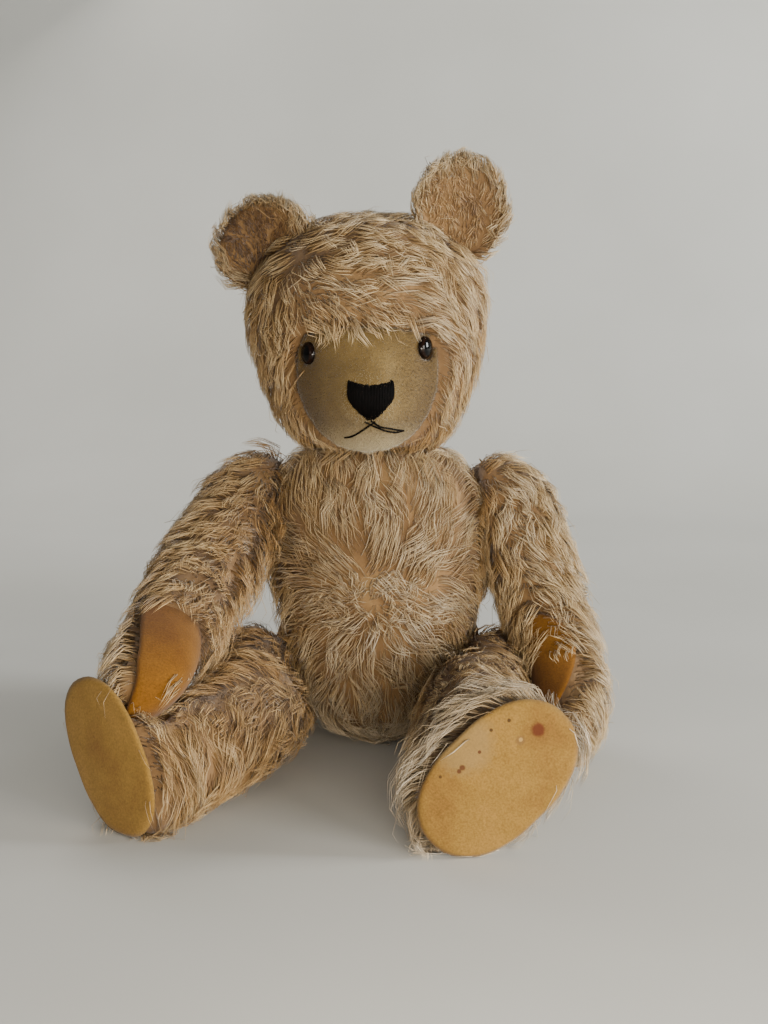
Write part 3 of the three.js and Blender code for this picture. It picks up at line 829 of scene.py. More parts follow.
# %% Felt materials
def felt(name, dark, middle, pale, dirt=()):
    """Pressed wool felt; dirt is a list of ((x, z), reach, colour, strength), in millimetres."""
    material, shader = new_material(name, Roughness=0.95, Sheen_Weight=0.1, Specular_IOR_Level=0.12)
    place = object_place(material)
    level = add_node(material, "ShaderNodeVectorMath", [(0, place)], operation="MULTIPLY")
    level.inputs[1].default_value = (1.0, 0.0, 1.0)
    fibre = noise(material, place, 1100.0, 3.0)
    fade = noise(material, place, 38.0, 5.0)
    colour = ramp(material, fade, [(0.3, dark), (0.5, middle), (0.72, pale)])
    colour = mix_colours(material, 0.5, colour, fibre, "OVERLAY")
    ragged = noise(material, place, 500.0, 2.0)
    for (x, z), reach, tint, strength in dirt:
        gap = add_node(
            material, "ShaderNodeVectorMath", [(0, level.outputs[0])], operation="DISTANCE"
        )
        gap.inputs[1].default_value = (x * MM, 0.0, z * MM)
        push = add_node(
            material,
            "ShaderNodeMath",
            [(0, ragged), (2, gap.outputs["Value"])],
            operation="MULTIPLY_ADD",
        )
        push.inputs[1].default_value = reach * 0.5 * MM
        edge = add_node(
            material,
            "ShaderNodeMapRange",
            [("Value", push.outputs[0])],
            From_Min=reach * 1.35 * MM,
            From_Max=reach * 0.9 * MM,
            To_Max=strength,
        )
        colour = mix_colours(material, edge.outputs["Result"], colour, linear(tint))
    link_colour(material, shader, colour)
    link_bump(material, shader, fibre, 0.45, 0.35 * MM)
    return material


pad_felt = felt("wool_felt_orange", "#5c390e", "#694412", "#754e19")
SOLE_SPOTS = (
    ((38, 52), 15.0, "#85714c", 0.45),
    ((71.7, 57.8), 3.4, "#522819", 0.9),
    ((63.7, 53.2), 2.4, "#6a5030", 0.7),
    ((63.9, 53.6), 1.0, "#a58650", 0.8),
    ((58.7, 62.0), 1.0, "#402c1a", 0.9),
    ((50.7, 57.8), 0.9, "#402c1a", 0.9),
    ((45.5, 48.1), 0.9, "#4c2a1c", 0.9),
    ((37.9, 41.2), 1.5, "#4c2a1c", 0.85),
    ((36.4, 39.6), 1.1, "#4c2a1c", 0.85),
    ((28.1, 37.0), 0.8, "#402c1a", 0.8),
)
sole_felt = felt("wool_felt_ochre_soiled", "#6f5026", "#80632f", "#8b6b37", SOLE_SPOTS)
print("felt", pad_felt.name, sole_felt.name)

# %% Felt patches
def smooth_outline(across, along, softened):
    """The rounded outline of flat points: the reach of their hull by angle, then averaged."""
    theta = np.linspace(-math.pi, math.pi, 145)[:-1]
    directions = np.stack([np.cos(theta), np.sin(theta)])
    support = (np.stack([across, along], axis=1) @ directions).max(axis=0)
    reach = np.array([np.min(support / np.maximum(np.cos(theta - turn), 0.05)) for turn in theta])
    window = np.ones(softened) / softened
    padded = np.concatenate([reach[-softened:], reach, reach[:softened]])
    reach = np.convolve(padded, window, mode="same")[softened:-softened]
    return lambda angles: np.interp(angles, theta, reach, period=2 * math.pi)


def powers(u, v, order):
    """The products of powers of u and v up to an order, for fitting a smooth surface."""
    terms = [u**i * v**j for i in range(order + 1) for j in range(order + 1 - i)]
    return np.stack(terms, axis=1)


def felt_patch(node, facing, material, raised, order, dome, stretch):
    """A thin felt oval that follows the outer face of a packed pad, stretched a little."""
    source = frame["nodes"][node]
    places = corners_of(source)
    middle = places.mean(axis=0)
    facing = unit(facing[None, :])[0]
    spread = (places - middle) - np.outer((places - middle) @ facing, facing)
    along = np.linalg.svd(spread, full_matrices=False)[2][0]
    across = np.cross(facing, along)
    flat = (places - middle) @ np.stack([across, along], axis=1)
    height = (places - middle) @ facing
    outline = smooth_outline(flat[:, 0], flat[:, 1], 9)
    rough = np.linalg.lstsq(powers(*flat.T, order), height, rcond=None)[0]
    outer = height >= powers(*flat.T, order) @ rough - 0.2 * MM
    face = np.linalg.lstsq(powers(*flat[outer].T, order), height[outer], rcond=None)[0]
    rings, turns = 14, 72
    theta = np.linspace(-math.pi, math.pi, turns, endpoint=False)
    edge = outline(theta)
    wide, tall = stretch
    bm = bmesh.new()
    loops = []
    for ring in range(1, rings + 1):
        share = (ring / rings) ** 0.8
        u, v = wide * edge * share * np.cos(theta), tall * edge * share * np.sin(theta)
        rolled = raised + dome * (1 - share**2) - 1.1 * MM * max(0.0, (share - 0.93) / 0.07) ** 2
        level = powers(u, v, order) @ face + rolled
        spots = middle + np.outer(u, across) + np.outer(v, along) + np.outer(level, facing)
        spots[:, 2] = np.maximum(spots[:, 2], FLOOR_CLEAR)
        loops.append([bm.verts.new(spot) for spot in spots])
    crown = bm.verts.new(middle + facing * (face[0] + raised + dome))
    for inner_loop, outer_loop in zip(loops[:-1], loops[1:]):
        for i in range(turns):
            j = (i + 1) % turns
            bm.faces.new((inner_loop[i], outer_loop[i], outer_loop[j], inner_loop[j]))
    for i in range(turns):
        bm.faces.new((crown, loops[0][i], loops[0][(i + 1) % turns]))
    bmesh.ops.recalc_face_normals(bm, faces=bm.faces)
    name = f"{node}_felt"
    mesh = bpy.data.meshes.new(name)
    bm.to_mesh(mesh)
    bm.free()
    if mesh.polygons[0].normal.dot(Vector(facing)) < 0:
        mesh.flip_normals()
    patch = place_in_scene(name, mesh)
    apply_modifier(patch, "SOLIDIFY", thickness=1.6 * MM, offset=-1.0)
    shade_smooth(patch)
    patch.data.materials.append(material)
    print(name, len(patch.data.polygons), "faces")
    return patch


# %% Pads and soles
PAD_FACING = {"left": np.array([-0.75, -0.6, 0.2]), "right": np.array([0.6, -0.79, -0.04])}
SOLE_NORMAL = {"left": np.array([0.03, -0.99, 0.1]), "right": np.array([-0.62, -0.77, 0.1])}
PAD_STRETCH = {"left": (1.12, 1.0), "right": (1.32, 1.17)}
PAD_FIT = {"raised": 1.3 * MM, "order": 2, "dome": 0.0}
SOLE_FIT = {"raised": 0.3 * MM, "order": 1, "dome": 1.6 * MM}
felts = {}
for side in ("left", "right"):
    pad, sole = f"paw_pad_{side}", f"foot_sole_{side}"
    felts[pad] = felt_patch(pad, PAD_FACING[side], pad_felt, stretch=PAD_STRETCH[side], **PAD_FIT)
    felts[sole] = felt_patch(sole, SOLE_NORMAL[side], sole_felt, stretch=(1.09, 0.975), **SOLE_FIT)
    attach(felts[pad], f"arm_{side}")
    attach(felts[sole], f"leg_{side}")
for node, patch in felts.items():
    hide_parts(node)

# %% [markdown]
# ## Pile on the limbs
# On the arms the hair is brushed outwards and down towards the paws. On the legs it runs to the
# feet, rumpled on the thighs, and on the feet it lies along the edge of the sole and has gone
# silvery. Nothing grows under the felt, but on the left arm it hangs over the top of the pad.


# %% Limb pile
ARM_BRUSH = {
    "left": (np.array([0.0, -0.55, -0.85]), np.array([0.45, 0.1, -0.3])),
    "right": (np.array([-0.15, -0.75, -0.45]), np.array([-0.75, 0.1, -0.45])),
}


def arm_brushing(side):
    to_paw, across = ARM_BRUSH[side]

    def brushing(places, normals):
        near_paw = smooth_step(-0.06, -0.13, places[:, 1])[:, None]
        return to_paw[None, :] * (0.8 + 0.4 * near_paw) + across[None, :] * (1 - 0.4 * near_paw)

    return brushing


def arm_tone(side):
    outward = 1.0 if side == "left" else -1.0
    # Painted shade: darker on the right arm, away from the window, and on the inner side by the body.
    base = 0.62 if side == "left" else 0.48

    def tone(places, normals):
        inner = smooth_step(0.2, 0.9, -normals[:, 0] * outward)
        top = smooth_step(0.1, 0.15, places[:, 2])
        return base - 0.28 * inner * top - 0.1 * inner + 0.12 * smooth_step(-0.1, -0.16, places[:, 1])

    return tone


def arm_lift(side):
    def lift(places, normals):
        inner = smooth_step(0.1, 0.8, normals[:, 0]) * smooth_step(-0.11, -0.08, places[:, 1])
        return (5.6 + (5.0 * inner if side == "right" else 0.0)) * MM

    return lift


def off_pad(side):
    """Hair grows off the pad, but hangs over the upper half of the left one."""
    clear_of_pad = off_piece(felts[f"paw_pad_{side}"], 0.4 * MM)

    def keep(places, normals, rng):
        hangs_over = ((places[:, 2] > 0.056) | (places[:, 0] > 0.112)) & (side == "left")
        return clear_of_pad(places, normals, rng) | hangs_over

    return keep


for side, seed in (("left", 31), ("right", 37)):
    grow_pile(
        f"arm_{side}_pile",
        f"arm_{side}",
        skins[f"arm_{side}"],
        7400,
        seed,
        arm_brushing(side),
        arm_tone(side),
        steady(19 * MM),
        arm_lift(side),
        keep=off_pad(side),
        over=combed_over[f"arm_{side}"],
        wave=1.8 * MM,
        mess=0.32,
        clump=12,
    )

# %% Leg pile
LEG_END = {side: np.array(sum(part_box(f"foot_sole_{side}"), Vector()) / 2) for side in ("left", "right")}
LEG_ROOT = {"left": np.array([0.06, -0.012, 0.03]), "right": np.array([-0.06, -0.012, 0.03])}
SWEPT = {"left": np.array([-0.7, 0.0, -0.7]), "right": np.array([0.3, 0.1, -0.9])}
SOLE_LONG = {"left": np.array([0.71, 0.0, 0.7]), "right": np.array([-0.5, 0.3, 0.83])}
SOLE_FACING = {side: unit(SOLE_NORMAL[side][None, :])[0] for side in ("left", "right")}
INWARD = {"left": np.array([-1.0, 0.0, 0.0]), "right": np.array([1.0, 0.0, 0.0])}
SOLE_HALVES = {"left": (43.5 * MM, 24 * MM), "right": (43 * MM, 22 * MM)}


def over_sole(side):
    """A test for locks that would lie across the face of a sole."""
    facing = SOLE_FACING[side]
    along = along_skin(SOLE_LONG[side][None, :], facing[None, :])[0]
    across = np.cross(facing, along)
    half_long, half_short = SOLE_HALVES[side]

    def test(rings):
        away = rings - LEG_END[side]
        share = np.abs(away @ along / half_long) ** 2.3 + np.abs(away @ across / half_short) ** 2.3
        return ((away @ facing > -3 * MM) & (share < 0.86)).any(axis=1)

    return test


def leg_brushing(side):
    to_foot = LEG_END[side] - LEG_ROOT[side]
    to_foot = to_foot / np.linalg.norm(to_foot)
    facing = SOLE_FACING[side]
    inward = INWARD[side]

    def brushing(places, normals):
        behind = -(places - LEG_END[side]) @ facing
        round_sole = unit(np.cross(np.tile(facing, (len(places), 1)), normals))
        round_sole *= np.where(round_sole @ SWEPT[side] > 0, 1.0, -1.0)[:, None]
        at_foot = smooth_step(0.045, 0.02, behind)[:, None]
        under = smooth_step(0.3, 0.9, normals @ inward) * smooth_step(0.05, 0.03, places[:, 2])
        on_top = (smooth_step(0.1, 0.7, normals[:, 2]) * smooth_step(0.06, 0.11, behind))[:, None]
        runs = to_foot + np.array([0.0, 0.0, -0.35]) + inward * 0.9 * (under[:, None] - on_top)
        return runs * (1 - 0.92 * at_foot) + round_sole * at_foot

    return brushing


def leg_length(side):
    inward = INWARD[side]
    extra = 4.0 if side == "left" else 13.0
    facing = SOLE_FACING[side]

    def length(places, normals):
        under = smooth_step(0.2, 0.8, normals @ inward) * smooth_step(0.05, 0.03, places[:, 2])
        at_foot = smooth_step(0.05, 0.02, -(places - LEG_END[side]) @ facing)
        return (18 + extra * under + 4 * at_foot) * MM

    return length


def leg_tone(side):
    facing = SOLE_FACING[side]

    def tone(places, normals):
        behind = -(places - LEG_END[side]) @ facing
        at_foot = smooth_step(0.07, 0.02, behind)
        # Painted shade: darker on the right leg, away from the window, and on the thigh under the arm.
        thigh = smooth_step(0.11, 0.17, behind)
        silver = 0.3 if side == "left" else 0.1
        base = 0.5 if side == "left" else 0.37
        return base + silver * at_foot - 0.1 * thigh

    return tone


def leg_lift(side):
    facing = SOLE_FACING[side]
    bushy = 4.5 if side == "left" else 1.5

    def lift(places, normals):
        behind = -(places - LEG_END[side]) @ facing
        return (5.4 + bushy * smooth_step(0.05, 0.02, behind)) * MM

    return lift


for side, seed in (("left", 41), ("right", 43)):
    grow_pile(
        f"leg_{side}_pile",
        f"leg_{side}",
        skins[f"leg_{side}"],
        8300,
        seed,
        leg_brushing(side),
        leg_tone(side),
        leg_length(side),
        leg_lift(side),
        keep=off_piece(felts[f"foot_sole_{side}"], 0.8 * MM),
        over=combed_over[f"leg_{side}"],
        off_felt=over_sole(side),
        wave=1.8 * MM,
        mess=0.26,
        clump=12,
    )

# %% [markdown]
# ## Ears
# Each ear is two rounds of mohair sewn together at the edge and cupped forwards. The hair stands
# out from the rim, curls over it, and is rusty and flat in the hollow, where painted shade in the
# cup darkens it further, most on the right ear.


# %% Ears
def ear_foot(side):
    """The middle of an ear's lower edge, where it is sewn to the head."""
    low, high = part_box(f"ear_{side}")
    return np.array([(low.x + high.x) / 2, (low.y + high.y) / 2, low.z])


def ear_brushing(side):
    foot = ear_foot(side)
    upward = np.array([0.3, 0, 1]) if side == "left" else np.array([-0.75, 0, 1])

    def brushing(places, normals):
        away = unit(places - foot)
        return away + 0.6 * unit(upward[None, :]) + np.array([0.0, -0.15, 0.0])

    return brushing


def in_hollow(side, places, normals):
    """1 in the cupped middle of an ear's front, 0 on its rim and back."""
    low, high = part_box(f"ear_{side}")
    middle = np.array((low + high) / 2)
    facing = smooth_step(0.0, 0.5, -normals[:, 1])
    return facing * smooth_step(0.024, 0.014, np.linalg.norm((places - middle)[:, [0, 2]], axis=1))


def ear_tone(side):
    # Painted shade in the cup, with the hair's own rust: the hollow is darker, most on the right ear.
    deep = 0.6 if side == "right" else 0.3
    return lambda places, normals: 0.58 - deep * in_hollow(side, places, normals)


EAR_FULLNESS = {"left": np.array([1.08, 1.1, 1.08]), "right": np.array([1.2, 1.1, 1.08])}
EAR_SHIFT = {"left": np.array([-1, 0, 0]) * MM, "right": np.array([4.5, 0, -4]) * MM}
for side, seed in (("left", 53), ("right", 59)):
    ear = stuffed_skin(f"ear_{side}_skin", [f"ear_{side}"], 2.2 * MM, 2, 0.6 * MM)
    foot = ear_foot(side)
    fuller = foot + (corners_of(ear) - foot) * EAR_FULLNESS[side]
    move_corners(ear, fuller + EAR_SHIFT[side])
    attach(ear, "head")
    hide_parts(f"ear_{side}")
    grow_pile(
        f"ear_{side}_pile",
        "head",
        ear,
        2900,
        seed,
        ear_brushing(side),
        ear_tone(side),
        steady(16 * MM),
        steady(5.0 * MM),
        keep=lambda places, normals, rng: in_hollow(side, places, normals) < 0.35,
        wave=2.2 * MM,
        mess=0.5,
        free=0.4,
        clump=9,
    )
    grow_pile(
        f"ear_{side}_hollow_pile",
        "head",
        ear,
        2200,
        seed + 1,
        ear_brushing(side),
        ear_tone(side),
        steady(7 * MM),
        steady(1.2 * MM),
        keep=lambda places, normals, rng: in_hollow(side, places, normals) >= 0.35,
        wave=0.6 * MM,
        mess=0.3,
        clump=8,
    )

# %% [markdown]
# ## Clipped muzzle
# The muzzle is mohair clipped down to a velvet under two millimetres deep. It is golden tan,
# paler where hands and dust have worn it at the chin and round the nose, and darker at the
# sides with painted shade, the shadow of the cheek hair. It is a fused and smoothed copy of its
# imported node, with the velvet as fine bump.

# %% Clipped mohair material
MUZZLE_MIDDLE = -6 * MM
PAINTED_SHADE_SIDES = (10 * MM, 32 * MM)
velvet_material, velvet_shader = new_material(
    "mohair_clipped", Roughness=0.8, Sheen_Weight=0.35, Sheen_Roughness=0.45, Specular_IOR_Level=0.25
)
place = object_place(velvet_material)
parts = add_node(velvet_material, "ShaderNodeSeparateXYZ", [("Vector", place)])
worn_chin = add_node(
    velvet_material,
    "ShaderNodeMapRange",
    [("Value", parts.outputs["Z"])],
    From_Min=0.182,
    From_Max=0.165,
)
blotch = noise(velvet_material, place, 70.0, 5.0)
fine = noise(velvet_material, place, 900.0, 2.0)
ground = ramp(velvet_material, blotch, [(0.3, "#604d26"), (0.5, "#6c5830"), (0.7, "#78643a")])
colour = mix_colours(velvet_material, worn_chin.outputs["Result"], ground, linear("#a09372"))
# Painted shade: darker towards the sides of the muzzle, in the shadow of the cheek hair.
from_middle = add_node(
    velvet_material, "ShaderNodeMath", [(0, parts.outputs["X"])], operation="SUBTRACT"
)
from_middle.inputs[1].default_value = MUZZLE_MIDDLE
to_side = add_node(
    velvet_material, "ShaderNodeMath", [(0, from_middle.outputs[0])], operation="ABSOLUTE"
)
shaded = add_node(
    velvet_material,
    "ShaderNodeMapRange",
    [("Value", to_side.outputs[0])],
    From_Min=PAINTED_SHADE_SIDES[0],
    From_Max=PAINTED_SHADE_SIDES[1],
    To_Max=0.75,
)
colour = mix_colours(velvet_material, shaded.outputs["Result"], colour, linear("#473414"))
colour = mix_colours(velvet_material, 0.35, colour, fine, "OVERLAY")
link_colour(velvet_material, velvet_shader, colour)
link_bump(velvet_material, velvet_shader, fine, 0.5, 0.4 * MM)

# %% Muzzle
muzzle = joined_copy("muzzle_velvet", ["face_mask"])
apply_modifier(muzzle, "REMESH", mode="VOXEL", voxel_size=1.7 * MM, adaptivity=0.0)
apply_modifier(muzzle, "SMOOTH", factor=0.5, iterations=5)
rim_gap = gaps_to(tree_of(frame["nodes"]["head_cover"]), corners_of(muzzle))
inner = muzzle.vertex_groups.new(name="away_from_rim")
for i, weight in enumerate(smooth_step(1.5 * MM, 9 * MM, rim_gap)):
    inner.add([i], float(weight), "REPLACE")
apply_modifier(muzzle, "SMOOTH", factor=0.5, iterations=45, vertex_group="away_from_rim")
BROW = 0.226
CHIN_DROP = 1.045
places = corners_of(muzzle) + normals_of(muzzle) * 1.3 * MM
places[:, 2] = BROW + (places[:, 2] - BROW) * CHIN_DROP
move_corners(muzzle, places)
shade_smooth(muzzle)
muzzle.data.materials.append(velvet_material)
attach(muzzle, "head")
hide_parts("face_mask")
print("muzzle", len(muzzle.data.polygons), "faces")

# %% Velvet bristles
CLIPPED = 1.5 * MM
NOSE_PLACE = np.array([-0.004, -0.074, 0.194])
bristle_material, bristle_shader = new_material(
    "mohair_clipped_hairs", Roughness=0.6, Sheen_Weight=0.25, Specular_IOR_Level=0.3
)
_, bristle_tone, _ = own_map(bristle_material, "OFBake")
bristle_tones = [(0.1, "#46351a"), (0.45, "#705c34"), (0.7, "#958560"), (0.98, "#c2b89c")]
bristle_colour = ramp(bristle_material, bristle_tone, bristle_tones)
link_colour(bristle_material, bristle_shader, bristle_colour)


def bristles(name, count, seed):
    """Short hairs, each a spike on a three-sided foot, over the front of the muzzle."""
    rng = np.random.default_rng(seed)
    roots, normals, _ = scatter(muzzle, count, rng)
    front = normals[:, 1] < 0.3
    roots, normals = roots[front], normals[front]
    count = len(roots)
    lean = unit(normals + rng.normal(0, 0.3, (count, 3)) + np.array([0.0, 0.0, -0.35]))
    aside = along_skin(rng.normal(0, 1, (count, 3)), lean)
    other = np.cross(lean, aside)
    rings = []
    for turn in (0, 2 * math.pi / 3, 4 * math.pi / 3):
        rings.append(roots + 0.13 * MM * (math.cos(turn) * aside + math.sin(turn) * other))
    tips = roots + lean * CLIPPED * rng.uniform(0.5, 1.1, (count, 1))
    verts = np.stack(rings + [tips], axis=1).reshape(-1, 3)
    corner = np.array([[0, 1, 3], [1, 2, 3], [2, 0, 3], [2, 1, 0]])
    faces = (corner[None] + 4 * np.arange(count)[:, None, None]).reshape(-1, 3)
    mesh = bpy.data.meshes.new(name)
    mesh.from_pydata(verts.tolist(), [], faces.tolist())
    mesh.polygons.foreach_set("use_smooth", [True] * len(faces))
    chin = smooth_step(0.180, 0.166, roots[:, 2])
    # Painted shade: the bristles darken towards the sides, as the muzzle does.
    side = smooth_step(*PAINTED_SHADE_SIDES, np.abs(roots[:, 0] - MUZZLE_MIDDLE))
    nose_gap = np.linalg.norm((roots - NOSE_PLACE) / np.array([0.016, 0.02, 0.014]), axis=1)
    tone = 0.45 + 0.3 * chin - 0.36 * side + 0.28 * smooth_step(1.25, 0.9, nose_gap)
    tone = np.clip(tone + rng.normal(0, 0.06, count), 0.004, 0.98)
    tone_map = np.repeat(tone, 12).reshape(count, 4, 3) + np.array([0, 0.003, 0.0015])
    heights = np.broadcast_to(np.array([[0, 0, 1], [0, 0, 1], [0, 0, 1], [0, 0, 0.05]]), (count, 4, 3))
    layer = mesh.uv_layers.new(name="OFBake")
    layer.data.foreach_set("uv", np.stack([tone_map, heights], axis=3).ravel())
    mesh.materials.append(bristle_material)
    piece = place_in_scene(name, mesh)
    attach(piece, "head")
    print(name, count, "bristles")


bristles("muzzle_bristles", 13500, 61)

# %% [markdown]
# ## Eyes
# The eyes are blown glass domes on wire: black in the middle, with a thin dark brown rim that
# shows at a grazing angle, and a hard bright highlight.

# %% Eyes
eye_material, eye_shader = new_material(
    "blown_glass_eye", Roughness=0.12, IOR=1.45, Specular_IOR_Level=0.25
)
_, from_pupil, _ = own_map(eye_material, "eye_round")
iris_tones = [(0.0, "#020202"), (0.72, "#030202"), (0.84, "#1d0f08"), (1.0, "#0c0604")]
link_colour(eye_material, eye_shader, ramp(eye_material, from_pupil, iris_tones))
EYE_RADIUS = 6.2 * MM


def glass_eye(side):
    """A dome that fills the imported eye, modelled as a flattened sphere on the eye's axis."""
    source = corners_of(frame["nodes"][f"eye_{side}"])
    middle = source.mean(axis=0)
    outward = 1 if side == "left" else -1
    axis = Vector((outward * 0.86, -0.5, 0.02)).normalized()
    bpy.ops.object.select_all(action="DESELECT")
    bpy.ops.mesh.primitive_uv_sphere_add(segments=40, ring_count=24, radius=EYE_RADIUS)
    eye = bpy.context.object
    eye.name = f"eye_{side}_glass"
    shape = corners_of(eye)
    shape[:, 2] *= np.where(shape[:, 2] > 0, 0.6, 0.25)
    turn = np.array(axis.to_track_quat("Z", "Y").to_matrix())
    low = (source - middle) @ np.array(axis)
    base = middle + np.array(axis) * (low.min() + 1.6 * MM)
    rim = np.linalg.norm(shape[:, :2], axis=1) / EYE_RADIUS
    move_corners(eye, shape @ turn.T + base)
    layer = eye.data.uv_layers.new(name="eye_round")
    corner = np.empty(len(eye.data.loops), dtype=np.int64)
    eye.data.loops.foreach_get("vertex_index", corner)
    layer.data.foreach_set("uv", np.stack([rim[corner], 0.5 + 0.3 * rim[corner]], axis=1).ravel())
    shade_smooth(eye)
    eye.data.materials.append(eye_material)
    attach(eye, "head")
    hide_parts(f"eye_{side}")


for side in ("left", "right"):
    glass_eye(side)

# %% [markdown]
# ## Nose and mouth
# The nose is satin stitch: some thirty long stitches of thick dark brown thread laid side by
# side, from a slightly hollow top edge down to a point. The mouth is one stitch each side, with
# a second loose strand on the left. Each stitch is a curve laid on the muzzle, with a round
# section, turned into a mesh.

# %% Thread material
thread_material, thread_shader = new_material(
    "embroidery_thread", Roughness=0.75, Specular_IOR_Level=0.08
)
strands = noise(thread_material, object_place(thread_material), 500.0, 3.0)
thread_tones = [(0.35, "#010101"), (0.62, "#040202"), (0.8, "#130c08")]
link_colour(thread_material, thread_shader, ramp(thread_material, strands, thread_tones))
link_bump(thread_material, thread_shader, strands, 0.6, 0.2 * MM)

# %% Stitches
muzzle_tree = tree_of(muzzle)


def on_muzzle(x, z, above):
    """The point of the muzzle straight behind (x, z), raised by a height."""
    hit, normal, _, _ = muzzle_tree.ray_cast(Vector((x, -0.3, z)), Vector((0, 1, 0)))
    return hit + normal * above


def stitched(name, paths, radius):
    """Threads of round section along lists of points, as one mesh."""
    curve = bpy.data.curves.new(name, "CURVE")
    curve.dimensions = "3D"
    curve.bevel_depth = radius
    curve.bevel_resolution = 1
    curve.use_fill_caps = True
    curve.resolution_u = 3
    for path in paths:
        spline = curve.splines.new("POLY")
        spline.points.add(len(path) - 1)
        for point, at in zip(spline.points, path):
            point.co = (*at, 1.0)
    thread = place_in_scene(name, curve)
    bpy.ops.object.select_all(action="DESELECT")
    thread.select_set(True)
    bpy.context.view_layer.objects.active = thread
    bpy.ops.object.convert(target="MESH")
    thread = bpy.context.object
    shade_smooth(thread)
    thread.data.materials.append(thread_material)
    return thread


NOSE_MIDDLE = -4 * MM
NOSE_TOP = 203.5 * MM
NOSE_LOW = 183.0 * MM
NOSE_HALF = 11.3 * MM
THREAD_RADIUS = 0.5 * MM
rng = np.random.default_rng(71)
nose_paths = []
for across in np.linspace(-1, 1, 31):
    x = NOSE_MIDDLE + across * NOSE_HALF
    top = NOSE_TOP - 2.2 * MM * (1 - across * across) + rng.normal(0, 0.25 * MM)
    rounded = min(1.0, (1 - abs(across)) / 0.85) ** 0.8
    side_low = NOSE_TOP - 10 * MM
    low = side_low + (NOSE_LOW - side_low) * rounded + rng.normal(0, 0.25 * MM)
    heights = np.linspace(top, low, 9)
    swell = np.sin(np.linspace(0, math.pi, 9)) ** 0.5
    nose_paths.append(
        [on_muzzle(x, z, THREAD_RADIUS * 0.4 + 1.1 * MM * s) for z, s in zip(heights, swell)]
    )
nose = stitched("nose_satin_stitch", nose_paths, THREAD_RADIUS)
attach(nose, "head")
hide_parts("nose_stitching")

MOUTH_LINES = (
    ((-18, 172), (-15, 172.6), (-12, 174.2), (-7, 178), (-2, 182)),
    ((-7, 182), (-3, 179.6), (4, 176.2), (9, 175), (13.5, 175.8)),
    ((-4, 182.5), (1, 178.8), (6, 177.6), (10, 176.4), (13.5, 175.8)),
)
mouth_paths = []
for line in MOUTH_LINES:
    xs, zs = np.array(line).T
    spots = np.linspace(0, 1, 14)
    known = np.linspace(0, 1, len(xs))
    mouth_paths.append(
        [
            on_muzzle(x * MM, z * MM, 0.5 * MM)
            for x, z in zip(np.interp(spots, known, xs), np.interp(spots, known, zs))
        ]
    )
mouth = stitched("mouth_stitches", mouth_paths, 0.55 * MM)
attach(mouth, "head")
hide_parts("mouth_stitching")

# %% [markdown]
# ## Joint hardware
# The hardboard discs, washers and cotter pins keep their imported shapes. They are seen only from
# odd angles, deep in the joints, but each gets the finish of the real one.

# %% Hardware materials
board_material, board_shader = new_material("hardboard_pressed", Roughness=0.85)
chips = noise(board_material, object_place(board_material), 700.0, 5.0)
board_tones = [(0.3, "#4e3622"), (0.7, "#7f6040")]
link_colour(board_material, board_shader, ramp(board_material, chips, board_tones))

steel_material, steel_shader = new_material("mild_steel_dulled", Metallic=1.0, Roughness=0.42)
rust = noise(steel_material, object_place(steel_material), 350.0, 4.0)
steel_tones = [(0.45, "#8f8d88"), (0.7, "#7a5a44")]
link_colour(steel_material, steel_shader, ramp(steel_material, rust, steel_tones))

for name, node in frame["nodes"].items():
    finish = None
    if "_disc_" in name:
        finish = board_material
    elif "washer" in name or "cotter" in name or "wire" in name:
        finish = steel_material
    if finish:
        node.data.materials.clear()
        node.data.materials.append(finish)

# %% [markdown]
# ## Stage
# The floor is one pale sheet that runs back past the bear and sweeps up behind it in a wide
# curve, far enough away for the bear to be seen from any side. A soft window on the right gives
# the form and falls off towards the left. A lamp, a low bounce and a rim light fill the rest,
# and a wash on the sweep makes it a little brighter on the right.

# %% Floor and sweep
HALF_WIDTH = 3.6
FLOOR_FRONT = -5.0
SWEEP_START = 0.75
SWEEP_RADIUS = 0.55
WALL_TOP = 3.0
stage_material, stage_shader = new_material("painted_board", Roughness=0.85)
mottle = noise(stage_material, object_place(stage_material), 4.0, 3.0)
stage_tones = [(0.3, "#babab4"), (0.7, "#c1c1bc")]
link_colour(stage_material, stage_shader, ramp(stage_material, mottle, stage_tones))

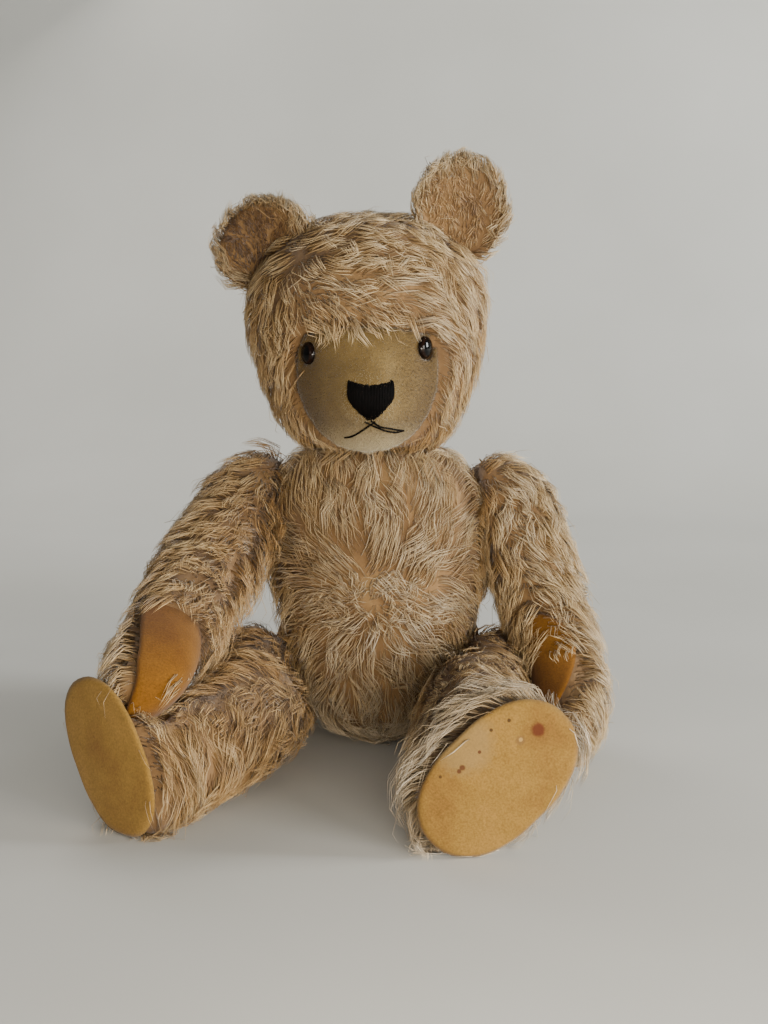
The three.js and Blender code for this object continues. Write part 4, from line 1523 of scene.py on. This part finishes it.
turns = np.linspace(0, math.pi / 2, 25)
outline = [(FLOOR_FRONT, 0.0)]
for turn in turns:
    back = SWEEP_START + SWEEP_RADIUS * math.sin(turn)
    outline.append((back, SWEEP_RADIUS * (1 - math.cos(turn))))
outline.append((SWEEP_START + SWEEP_RADIUS, WALL_TOP))
sweep_corners = [(x, y, z) for y, z in outline for x in (-HALF_WIDTH, HALF_WIDTH)]
sweep_faces = [(i, i + 1, i + 3, i + 2) for i in range(0, len(sweep_corners) - 2, 2)]
sweep_mesh = bpy.data.meshes.new("floor_sweep")
sweep_mesh.from_pydata(sweep_corners, [], sweep_faces)
sweep_mesh.materials.append(stage_material)
sweep = place_in_scene("floor_sweep", sweep_mesh)
shade_smooth(sweep)
print("sweep", len(sweep_faces), "faces")


# %% Lights
def soft_light(name, place, target, size, watts, colour):
    """A rectangular area light, not itself seen by the camera."""
    data = bpy.data.lights.new(name, "AREA")
    data.shape = "RECTANGLE"
    data.size, data.size_y = size
    data.energy = watts
    data.color = linear(colour)[:3]
    light = place_in_scene(name, data)
    light.location = place
    aim = Vector(target) - Vector(place)
    light.rotation_euler = aim.to_track_quat("-Z", "Y").to_euler()
    light.visible_camera = False
    return light


soft_light("window", (0.74, -0.8, 0.27), (0.02, 0, 0.08), (0.45, 0.45), 9.5, "#fffaf2")
soft_light("lamp", (-0.9, -1.3, 0.4), (0, 0, 0.1), (0.5, 0.5), 1.4, "#fff6ea")
soft_light("bounce", (0.12, -0.8, 0.11), (0, 0, 0.04), (0.4, 0.1), 5.5, "#fff3e2")
soft_light("rim", (-0.5, 1.0, 0.95), (0, 0, 0.15), (0.6, 0.6), 8, "#fffaf4")
soft_light("wash", (2.1, -0.1, 0.7), (0.9, 1.3, 0.45), (0.8, 0.8), 75, "#fbfcfb")
world = bpy.data.worlds.new("room")
bpy.context.scene.world = world
world.use_nodes = True
world.node_tree.nodes["Background"].inputs["Color"].default_value = linear("#e6e6e2")
world.node_tree.nodes["Background"].inputs["Strength"].default_value = 0.24

# %% Sizes and finish
added = 0
for piece in bpy.context.scene.objects:
    if piece.type == "MESH" and piece.name not in frame["nodes"]:
        triangles = sum(len(face.vertices) - 2 for face in piece.data.polygons)
        added += triangles
        print(piece.name, triangles)
print("triangles added", added)
